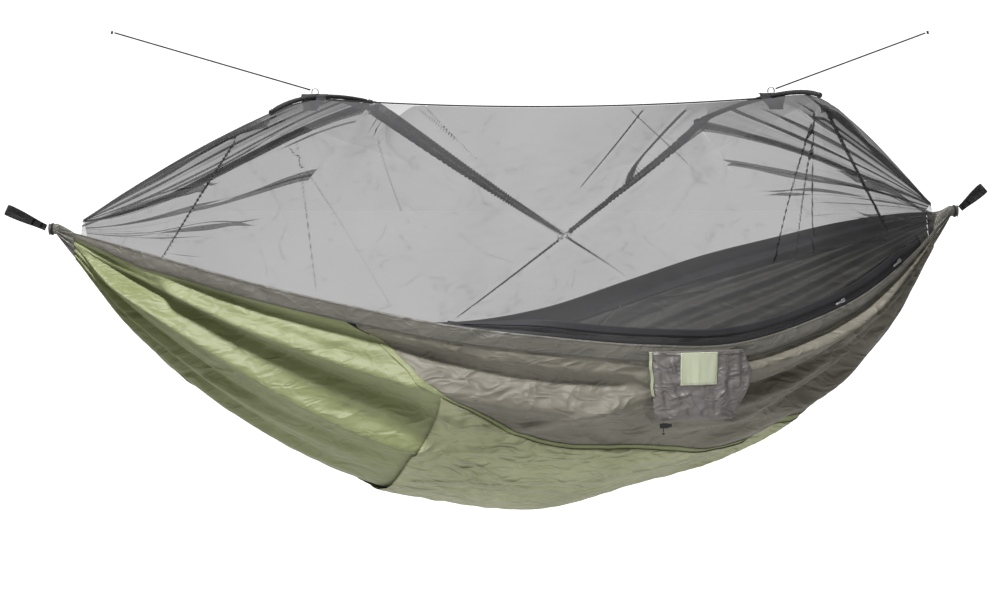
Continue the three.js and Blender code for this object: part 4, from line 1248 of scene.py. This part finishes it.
for side_name, rod in (("left", left_rod), ("right", right_rod)):
    rod_piece = cord_tube(f"{side_name}_rod", bowed(rod, np.linspace(0, 1, 50)), rod_radius, 16, fibre_rod)
    ride_as(rod_piece, "suspension", [f"{side_name}_spreader_rod"])
    t = np.linspace(0.03, 0.97, 160)
    puckers = 0.97 + 0.035 * np.sin(t * 260) * np.sin(t * 37 + 1) + 0.02 * np.sin(t * 90)
    puckers[[0, -1]] = 0.8
    tunnel = cord_tube(f"{side_name}_rod_tunnel", bowed(rod, t), sleeve_out, 16, band, puckers)
    ride_as(tunnel, "suspension", [f"{side_name}_rod_sleeve"])
    for end_name, t_end in (("near", 0.0), ("far", 1.0)):
        way = unit(bowed(rod, t_end) - bowed(rod, abs(t_end - 0.01)))
        base = bowed(rod, t_end) - way * (cap_length - cap_grip)
        cap = moulded_cap(f"{side_name}_{end_name}_cap", base, way)
        ride_as(cap, "suspension", [f"{side_name}_{end_name}_rod_cap"])
print("rods arch over", round(float(left_rod[2][1] - left_rod[0][1]), 3), "m")

# %% Patches and tabs
patch_out = sleeve_out + 0.0016
for side_name, rod, lean in (("left", left_rod, -1), ("right", right_rod, 1)):
    a, b = spread_grid(0, 1, 30, 44)
    wrap = 0.0112 * np.clip(b / 0.3, 0, 1)
    turn = wrap / patch_out * 1.6 - 0.6
    fall = 0.036 * np.clip((b - 0.3) / 0.7, 0, 1)
    spread = (a - 0.5) * mix(0.066, 0.036, smooth(0.2, 1, b)) + lean * 0.012 * b
    over_y = -patch_out * np.sin(turn) - 0.36 * fall
    over_z = patch_out * np.cos(turn) - 0.93 * fall + 0.0006 * ripple(a * 9, b * 7, 2.0)
    points = rod[1] + stack(spread, over_y, over_z)
    patch = thicken(cloth(f"{side_name}_crown_patch", points, threads(points), band), 0.0009)
    ride_as(patch, "suspension", [f"{side_name}_patch"])
    edge = np.concatenate([points[2:-2, 2], points[-3, 2:-2], points[2:-2, -3][::-1], points[2, 2:-2][::-1]])
    edge = edge + (0, -0.0007, 0.0004)
    stitch_row(f"{side_name}_patch_stitches", edge, (0, -0.8, 0.6), "suspension")
    low, high = box_of(f"{side_name}_guy_tab")
    q = np.linspace(0, 1, 40)
    middle = (low + high) / 2
    half_wide, tall = (high[0] - low[0]) / 2 - 0.0007, 0.0125
    arch_x = -half_wide * np.cos(np.pi * q)
    arch_z = tall * np.sin(np.pi * q) ** 0.55
    tab_path = np.stack([middle[0] + arch_x, 0 * q, low[2] + arch_z], axis=-1)
    tab = ribbon(f"{side_name}_tab", tab_path, (0, 1, 0), 0.016, 0.0014, webbing)
    ride_as(tab, "suspension", [f"{side_name}_guy_tab"])
print("patches and tabs sewn")

# %% [markdown]
# ## Insect net
# The net is one layer of black mesh, so fine that it reads as grey. It hangs from the ridge cord and
# the rods, and it is folded where its corners pull it. A fold in mesh is dark because three layers
# lie on each other, so the folds are real: the sheet is pulled back over itself along a line.

# %% Net surfaces
near_edges = (0.2, 0.87)
far_edges = (0.17, 0.83)
net_clear = 0.009
rod_drop = 0.0068
knee_at = 0.35


def foot_point(s, side):
    s = np.asarray(s, float)
    if side > 0:
        return far_rim(s) + (0, 0, 0.0006)
    origin, _, width, out = rim_frame(s)
    return origin + width * mix(0.0002, 0.0395, zip_fade(s))[..., None] - out * 0.0008


def rod_edge(rod, side, foot, up):
    """The sewn edge of the net at a rod: up the wall to the rod's end, then along the rod."""
    corner = rod[0] if side < 0 else rod[2]
    along_rod = bowed(rod, mix(0.0 if side < 0 else 1.0, 0.5, np.clip(2 * up - 1, 0, 1)))
    t = np.clip(2 * up, 0, 1)[..., None]
    return np.where(up[..., None] < 0.5, mix(foot, corner, t), along_rod) + (0, 0, -rod_drop)


def net_wall(a, b, side):
    edges = near_edges if side < 0 else far_edges
    s = mix(edges[0], edges[1], a)
    top = ridge_at(mix(0.02, 0.98, a)) + (0, side * net_clear, -net_clear * 0.3)
    foot = foot_point(s, side)
    straight = mix(top, foot, knee_at)
    corner = 0 if side < 0 else 2
    rod_line = mix(left_rod[corner], right_rod[corner], a[..., None])
    rod_line = rod_line + stack(mix(net_clear, -net_clear, a) * 1.4, 0 * a, 0 * a - net_clear * 2)
    knee = mix(straight, rod_line, (np.abs(2 * a - 1) ** 2.4)[..., None])
    t = b[..., None]
    below = 1 - knee_at
    wall = np.where(t < knee_at, mix(top, knee, t / knee_at), mix(knee, foot, (t - knee_at) / below))
    up = np.where(b < knee_at, 1 - 0.5 * b / knee_at, 0.5 - 0.5 * (b - knee_at) / below)
    for rod, near_edge in ((left_rod, 1 - smooth(0, 0.1, a)), (right_rod, smooth(0.9, 1, a))):
        wall = mix(wall, rod_edge(rod, side, foot, up), near_edge[..., None])
    return wall


def net_end(a, b, side):
    rod = left_rod if side < 0 else right_rod
    closes = 0.03 if side < 0 else 0.978
    starts = (near_edges[0], far_edges[0]) if side < 0 else (near_edges[1], far_edges[1])
    near_foot = foot_point(mix(starts[0], closes, a), -1)
    far_foot = foot_point(mix(starts[1], closes, a), 1)
    low = b < 0.5
    t = np.where(low, 2 * b, 2 * (1 - b))[..., None]
    foot = np.where(low[..., None], near_foot, far_foot)
    off = stack(side * net_clear * 1.6 * (1 - a), 0 * a, 0 * a - 0.004)
    rod_end = np.where(low[..., None], rod[0], rod[2]) + off
    crown = rod[1] + off
    small = hang(closes) + stack(0 * a, np.where(low, -0.008, 0.008), 0 * a + 0.019)
    droop = np.where(low | (side > 0), 0.0, 0.3) * a**2 * (1 - a)
    shoulder = mix(rod_end, small, a[..., None]) + stack(0 * a, 0 * a, 0.060 * a * (1 - a) - droop)
    top_small = small * (1, 0, 1) + (0, 0, 0.004)
    top = mix(crown, top_small, a[..., None]) + stack(0 * a, 0 * a, 0.070 * a * (1 - a))
    net = np.where(t < 0.5, mix(foot, shoulder, t * 2), mix(shoulder, top, t * 2 - 1))
    edge = np.where(low[..., None], rod_edge(rod, -1, foot, t[..., 0]), rod_edge(rod, 1, foot, t[..., 0]))
    return mix(net, edge, (1 - smooth(0, 0.16, a))[..., None])


def gathered(x, passes, tight):
    """Where mesh at x, in fold half widths, lies once it is drawn up into that many pleats."""
    inside = 1 - smooth(0.85, 1.7, np.abs(x))
    turn = np.pi * passes * x / 1.7
    return mix(x, tight * np.sin(turn) + 0.2 * tight * x, inside) - x, inside * np.cos(turn)


def pull_fold(points, start, end, wide, narrow, passes=3, depth=0.002, where=1.0):
    """Draws a near-upright sheet up into pleats along a line in X and Z."""
    start, end = np.array(start, float), np.array(end, float)
    way = unit(end - start)
    side = np.array([-way[1], way[0]])
    flat = points[..., [0, 2]] - start
    run = flat @ way / np.linalg.norm(end - start)
    off = flat @ side + 0.003 * np.sin(3.1 * run + 40 * start[0])
    size = mix(wide, narrow, np.clip(run, 0, 1))
    here = smooth(-0.02, 0.07, run) * (1 - smooth(0.94, 1.03, run)) * where
    back, height = gathered(off / size, passes, 0.42)
    points = points.copy()
    points[..., 0] += side[0] * back * size * here
    points[..., 2] += side[1] * back * size * here
    points[..., 1] += depth * height * here
    return points


def fan_fold(b, folds_at, a):
    """The same pleats along lines that run to a gathered end; b goes round the net."""
    shift = 0
    lift = 0
    for place, size, begin, passes in folds_at:
        here = smooth(begin, begin + 0.2, a)
        back, height = gathered((b - place + 0.006 * np.sin(7 * a + 40 * place)) / size, passes, 0.4)
        shift = shift + size * back * here
        lift = lift + 0.0025 * height * here * (1 - 0.6 * a)
    for count, phase in ((13, 0.4), (21, 2.1), (34, 4.4), (55, 1.3), (83, 3.0)):
        turn = 2 * np.pi * count * b + phase + 1.6 * np.sin(2.5 * a + phase) + 2 * np.sin(9 * b + phase)
        share = smooth(0.05, 0.4, a) * (0.55 + 0.45 * np.sin(5 * b + phase))
        shift = shift + 1.15 * share * np.sin(turn) / (2 * np.pi * count)
        lift = lift + 0.016 / count * share * np.cos(turn)
    return np.clip(b + shift * np.sin(np.pi * b) ** 0.3, 0, 1), lift


def grid_normal(points):
    return unit(np.cross(np.gradient(points, axis=0), np.gradient(points, axis=1)))


print("net is", round(float(left_rod[1][2] - near_rim(0.5)[2]), 3), "m tall")

# %% Net walls
# Each fold: where it starts and ends in X and Z, its half width at both, its pleats and its depth.
cross = (1.467, -0.084)
wall_folds = {
    "far_net": (
        ((0.925, 0.285), cross, 0.05, 0.016, 5, 0.004),
        ((1.06, 0.27), (1.36, 0.02), 0.008, 0.004),
        ((1.78, 0.27), (1.53, -0.02), 0.009, 0.005),
        ((1.66, 0.27), (1.50, 0.05), 0.006, 0.004),
        (cross, (1.644, -0.215), 0.011, 0.005),
        ((1.85, 0.24), cross, 0.03, 0.014, 5, -0.004),
        (cross, (1.149, -0.330), 0.009, 0.005),
        ((1.08, 0.275), (1.30, 0.06), 0.006, 0.004),
        ((0.93, 0.24), (1.02, -0.02), 0.007, 0.004),
    ),
    "near_net": (
        ((0.75, 0.19), (1.027, -0.225), 0.008, 0.004),
        ((2.05, 0.25), (1.96, -0.12), 0.008, 0.005),
        ((2.055, 0.24), (2.015, -0.1), 0.007, 0.005),
        ((1.62, 0.27), (1.76, 0.12), 0.005, 0.004),
        ((2.05, 0.26), (2.06, -0.11), 0.006, 0.004),
        ((0.78, 0.2), (0.83, -0.19), 0.006, 0.004),
    ),
}
net_pieces = {}
for name, side, columns in (("near_net", -1, 500), ("far_net", 1, 540)):
    a, b = spread_grid(0, 1, columns, 120)
    points = net_wall(a, b, side)
    quiet = np.sin(np.pi * a) ** 0.4 * np.sin(np.pi * b) ** 0.6
    sag = 0.004 * ripple(a * 17 + b * 4, b * 9, 2.7 + side) + 0.0012 * ripple(a * 60, b * 46, 3.4 + side)
    points = points + grid_normal(points) * (sag * quiet)[..., None]
    for fold in wall_folds[name]:
        points = pull_fold(points, *fold)
    net_pieces[name] = cloth(name, points, threads(points), net_grey)

# %% Net ends
# Each fan of pleats: its place round the net, half width, where it begins and its pleats.
left_fans = [(0.17, 0.014, 0.1, 3), (0.235, 0.016, -0.1, 3), (0.31, 0.01, 0.0, 3), (0.38, 0.014, 0.0, 3),
             (0.45, 0.012, 0.1, 3), (0.52, 0.014, 0.0, 3), (0.59, 0.02, -0.1, 3), (0.655, 0.02, -0.2, 3),
             (0.735, 0.05, -0.3, 7), (0.85, 0.02, -0.3, 3), (0.91, 0.014, 0.0, 3)]
right_fans = [(0.1, 0.014, 0.1, 3), (0.17, 0.014, 0.0, 3), (0.235, 0.014, -0.1, 3), (0.33, 0.022, -0.2, 3),
              (0.43, 0.014, 0.0, 3), (0.5, 0.012, 0.1, 3), (0.565, 0.012, 0.0, 3), (0.64, 0.018, -0.2, 3),
              (0.745, 0.042, -0.3, 3), (0.84, 0.018, -0.1, 3), (0.9, 0.014, 0.0, 3)]
for name, side, fans in (("left_net", -1, left_fans), ("right_net", 1, right_fans)):
    a, b = spread_grid(0, 1, 100, 640)
    b_folded, lift = fan_fold(b, fans, a)
    points = net_end(a, b_folded, side)
    plain = net_end(a, b, side)
    wrinkle = 0.003 * ripple(a * 5, b * 40, 1.1 + side) * np.sin(np.pi * b) ** 0.5 * (1 - 0.7 * a)
    points = points + grid_normal(plain) * (lift + wrinkle * smooth(0, 0.1, a))[..., None]
    near_half = smooth(0.02, 0.08, -points[..., 1])
    if side > 0:
        points = pull_fold(points, (2.08, 0.27), (2.27, -0.05), 0.012, 0.007, 3, 0.002, near_half)
    else:
        points = pull_fold(points, (0.64, 0.2), (0.40, -0.14), 0.009, 0.005, 3, 0.002, near_half)
    net_pieces[name] = cloth(name, points, threads(plain), net_grey)
net_nodes = {"near_net": "near_net_wall", "far_net": "far_net_wall", "left_net": "left_net_end",
             "right_net": "right_net_end"}
for name, piece in net_pieces.items():
    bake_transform(piece)
    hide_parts(net_nodes[name])
print("net faces:", sum(len(p.data.polygons) for p in net_pieces.values()))

# %% [markdown]
# ## Stuff sack
# The sack is sewn below the near rim, turned inside out and slack, so it sags and crumples. It starts
# as a closed pillow of the sack's outline and a cloth simulation lets it settle, held along its top
# seam, with a little air in it. The sewn-on label and binding are laid on afterwards.

# %% Sack outline
sack_middle = 0.699
sack_way = unit(rim_frame(sack_middle)[1] * (1, 1, 0))
sack_out = unit(np.cross(sack_way, (0, 0, 1)))
sack_back = 0.0012 + 0.0016 + 0.0016 + 0.006  # panel, both layers of the hem, and a gap
sack_top = near_rim(sack_middle) + sack_out * sack_back + (0, 0, -0.006)
sack_width = 0.262
sack_height = 0.176
sack_depth = 0.046


def bulge(x):
    return np.sqrt(np.maximum(0, 1 - np.abs(2 * x - 1) ** 3))


def sack_half_width(b, side):
    """The sack leans in towards its foot, and its right side bellies out above the middle."""
    if side < 0:
        edge = mix(0.116, 0.103, b)
    else:
        edge = mix(0.118, 0.108, b) + 0.03 * np.sin(np.pi * np.clip(b * 1.25, 0, 1))
    return edge - 0.012 * smooth(0.86, 1.0, b)


def sack_place(a, b, out):
    share = 2 * a - 1
    u = np.where(share < 0, share * sack_half_width(b, -1), share * sack_half_width(b, 1))
    drop = 0.002 + b * (sack_height - 0.004) - 0.004 * np.sin(np.pi * a) * b
    return sack_top + sack_way * u[..., None] + sack_out * out[..., None] + stack(0 * u, 0 * u, -drop)


sack_columns = 72
sack_rows = 52
sack_wide = sack_rows + 1
a, b = spread_grid(0, 1, sack_columns, sack_rows)
belly = 0.006 + (sack_depth - 0.016) * bulge(a) * bulge(0.12 + 0.88 * b) ** 0.8
slant = 0.42 * b
pocket = 0.0024 * ripple(a * 16, b * 13, 2.3)
pocket = pocket + 0.005 * ridge((a - 0.12 - slant) / 0.035) * smooth(0.02, 0.2, b)
pocket = pocket - 0.005 * ridge((a - 0.05 - slant) / 0.04) * smooth(0.1, 0.3, b)
front = sack_place(a, b, belly + pocket * bulge(a) * bulge(b))
rear = sack_place(a, b, 0.0015 + 0.001 * ripple(a * 9, b * 9, 1.1) * bulge(a) * bulge(b))
count = front.shape[0] * front.shape[1]
faces = grid_faces(sack_columns, sack_rows).tolist()
rear_faces = [[count + k for k in face[::-1]] for face in faces]
top_row = [i * sack_wide for i in range(sack_columns + 1)]
rim = top_row + [sack_columns * sack_wide + j for j in range(1, sack_wide)]
rim += [i * sack_wide + sack_rows for i in range(sack_columns - 1, -1, -1)]
rim += list(range(sack_rows - 1, 0, -1))
wall = [[rim[k], rim[(k + 1) % len(rim)], count + rim[(k + 1) % len(rim)], count + rim[k]]
        for k in range(len(rim))]
mesh = bpy.data.meshes.new("sack_bag")
sack_points = np.concatenate([front.reshape(-1, 3), rear.reshape(-1, 3)])
mesh.from_pydata(sack_points.tolist(), [], faces + rear_faces + wall)
plain_uv = np.stack([a * sack_width, b * sack_height], axis=-1).reshape(-1, 2)
set_thread(mesh, np.concatenate([plain_uv, plain_uv]))
turned_outwards(mesh)
sack = finished(mesh, "sack_bag", sack_shiny)
print("sack starts", np.round(front.reshape(-1, 3).min(0), 3), np.round(front.reshape(-1, 3).max(0), 3))


# %% Settle the sack as cloth
def settle(piece, held, frames, pressure, cap, gravity):
    """Runs Blender's cloth for a few frames and keeps the result, with no point moved past cap."""
    scene = bpy.context.scene
    before = np.array([v.co for v in piece.data.vertices])
    group = piece.vertex_groups.new(name="held")
    group.add(held, 1.0, "REPLACE")
    modifier = piece.modifiers.new("settle", "CLOTH")
    for setting, value in (
        ("quality", 6), ("mass", 0.15), ("tension_stiffness", 25), ("compression_stiffness", 8),
        ("bending_stiffness", 0.4), ("vertex_group_mass", "held"), ("use_pressure", True),
        ("uniform_pressure_force", pressure),
    ):
        setattr(modifier.settings, setting, value)
    modifier.settings.effector_weights.gravity = gravity
    modifier.collision_settings.use_self_collision = False
    for frame_number in range(1, frames + 1):
        scene.frame_set(frame_number)
    dependencies = bpy.context.evaluated_depsgraph_get()
    shaped = piece.evaluated_get(dependencies)
    after = np.array([v.co for v in shaped.data.vertices])
    piece.modifiers.remove(modifier)
    scene.frame_set(1)
    move = after - before
    size = np.linalg.norm(move, axis=1, keepdims=True)
    move = move * np.minimum(1, cap / np.maximum(size, 1e-9))
    set_points(piece.data, before + move)
    return float(size.max())


held = top_row + [k + 1 for k in top_row] + [count + k for k in top_row]
furthest = settle(sack, held, 18, 0.5, 0.012, 0.4)
print("sack settled, furthest point moved", round(furthest, 4), "m")
apply_modifier(sack, "SUBSURF", levels=1, render_levels=1)
ride_as(sack, "sack", ["stuff_sack"])

# %% Points on the sack
sack_skin = BVHTree.FromPolygons([v.co.copy() for v in sack.data.vertices],
                                 [tuple(p.vertices) for p in sack.data.polygons])


def on_sack(u, drop, proud):
    """Where a point u along and drop below the sack's top lands on the sack's front."""
    reach = 0.09
    result = np.empty(u.shape + (3,))
    for key in np.ndindex(u.shape):
        start = sack_top + sack_way * u[key] + sack_out * reach + (0, 0, -drop[key])
        hit = sack_skin.ray_cast(Vector(start), Vector(-sack_out), 2 * reach)[0]
        spot = np.array(hit) if hit is not None else start - sack_out * (reach - 0.006)
        result[key] = spot + sack_out * proud
    return result


def relaxed(points, rounds):
    """Evens out a cloth on the sack without letting it sink in."""
    for _ in range(rounds):
        inner = (points[:-2, 1:-1] + points[2:, 1:-1] + points[1:-1, :-2] + points[1:-1, 2:]) / 4
        move = inner - points[1:-1, 1:-1]
        points[1:-1, 1:-1] = np.where(move @ sack_out > -0.0004, 1, 0)[..., None] * move + points[1:-1, 1:-1]
    return points


print("sack has", len(sack.data.polygons), "faces")

# %% [markdown]
# ## Label, binding, top seam and drawcord
# A label follows the cloth that it is sewn to, so its points are dropped straight onto the sack's
# front, evened out and given a row of stitches. The binding and the top seam are laid on likewise.

# %% Label
label_width = 0.094
label_height = 0.080
a, b = spread_grid(0, 1, 40, 34)
u = mix(-label_width / 2, label_width / 2, a)
drop = 0.004 + b * label_height
points = relaxed(on_sack(u, drop, 0.0012), 2)
thread = np.stack([u, -drop], axis=-1)
label = thicken(cloth("sack_patch_label", points, thread, label_weave), 0.0007)
ride_as(label, "sack", ["sack_label"])
border = np.concatenate([points[2:-2, 1], points[-3, 2:-2], points[2:-2, -3][::-1], points[2, 2:-2][::-1]])
stitch_row("label_stitches", border + sack_out * 0.0006, sack_out, "sack", thread_pale, 0.0028)

# %% Side binding and top seam
binding_gap = 0.0015
drops = np.linspace(0.003, 0.112, 50)
side_line = np.array([
    sack_top - sack_way * (float(sack_half_width(down / sack_height, -1)) + binding_gap) + (0, 0, -down)
    for down in drops
])
side_line = side_line + sack_out * 0.0075 + sack_way * (0.0012 * np.sin(drops * 120))[:, None]
binding = ribbon("sack_side_binding", side_line, sack_out + 0.35 * sack_way, 0.012, 0.0014, pale)
ride_as(binding, "sack", ["sack_binding"])
a, b = spread_grid(0, 1, 100, 6)
u = mix(-0.112, 0.114, a)
drop = 0.0015 + b * 0.009
seam_points = on_sack(u, np.maximum(drop, 0.004), 0.0006) * (1, 1, 0)
seam_points[..., 2] = sack_top[2] - drop
seam_points = seam_points + sack_out * (0.0004 * ripple(a * 30, b, 2.0))[..., None]
top_seam = thicken(cloth("sack_top_seam", seam_points, np.stack([u, drop], -1), sack_shiny), 0.0008)
ride_as(top_seam, "sack", [])

# %% Drawcord and its knot
draw_radius = 0.0011
cord_low, cord_high = box_of("sack_drawcord")
middle = (cord_low + cord_high) / 2
draw_path = [(middle[0], middle[1], z) for z in np.linspace(cord_high[2], cord_low[2], 16)]
draw = cord_tube("draw_cord", draw_path, draw_radius, 8, cord_black)
ride_as(draw, "sack", ["sack_drawcord"])
knot_low, knot_high = box_of("drawcord_knot")
knot = overhand_knot("draw_cord_knot", (knot_low + knot_high) / 2, (0, 0, -1), 0.0036, 0.0010)
ride_as(knot, "sack", ["drawcord_knot"])
print("sack dressed")

def area_of(piece):
    work = bmesh.new()
    work.from_mesh(piece.data)
    total = sum(face.calc_area() for face in work.faces)
    work.free()
    return total


for piece in (bottom, near_side, far_side, sleeve, *net_pieces.values()):
    print(piece.name, "area", round(area_of(piece), 3))
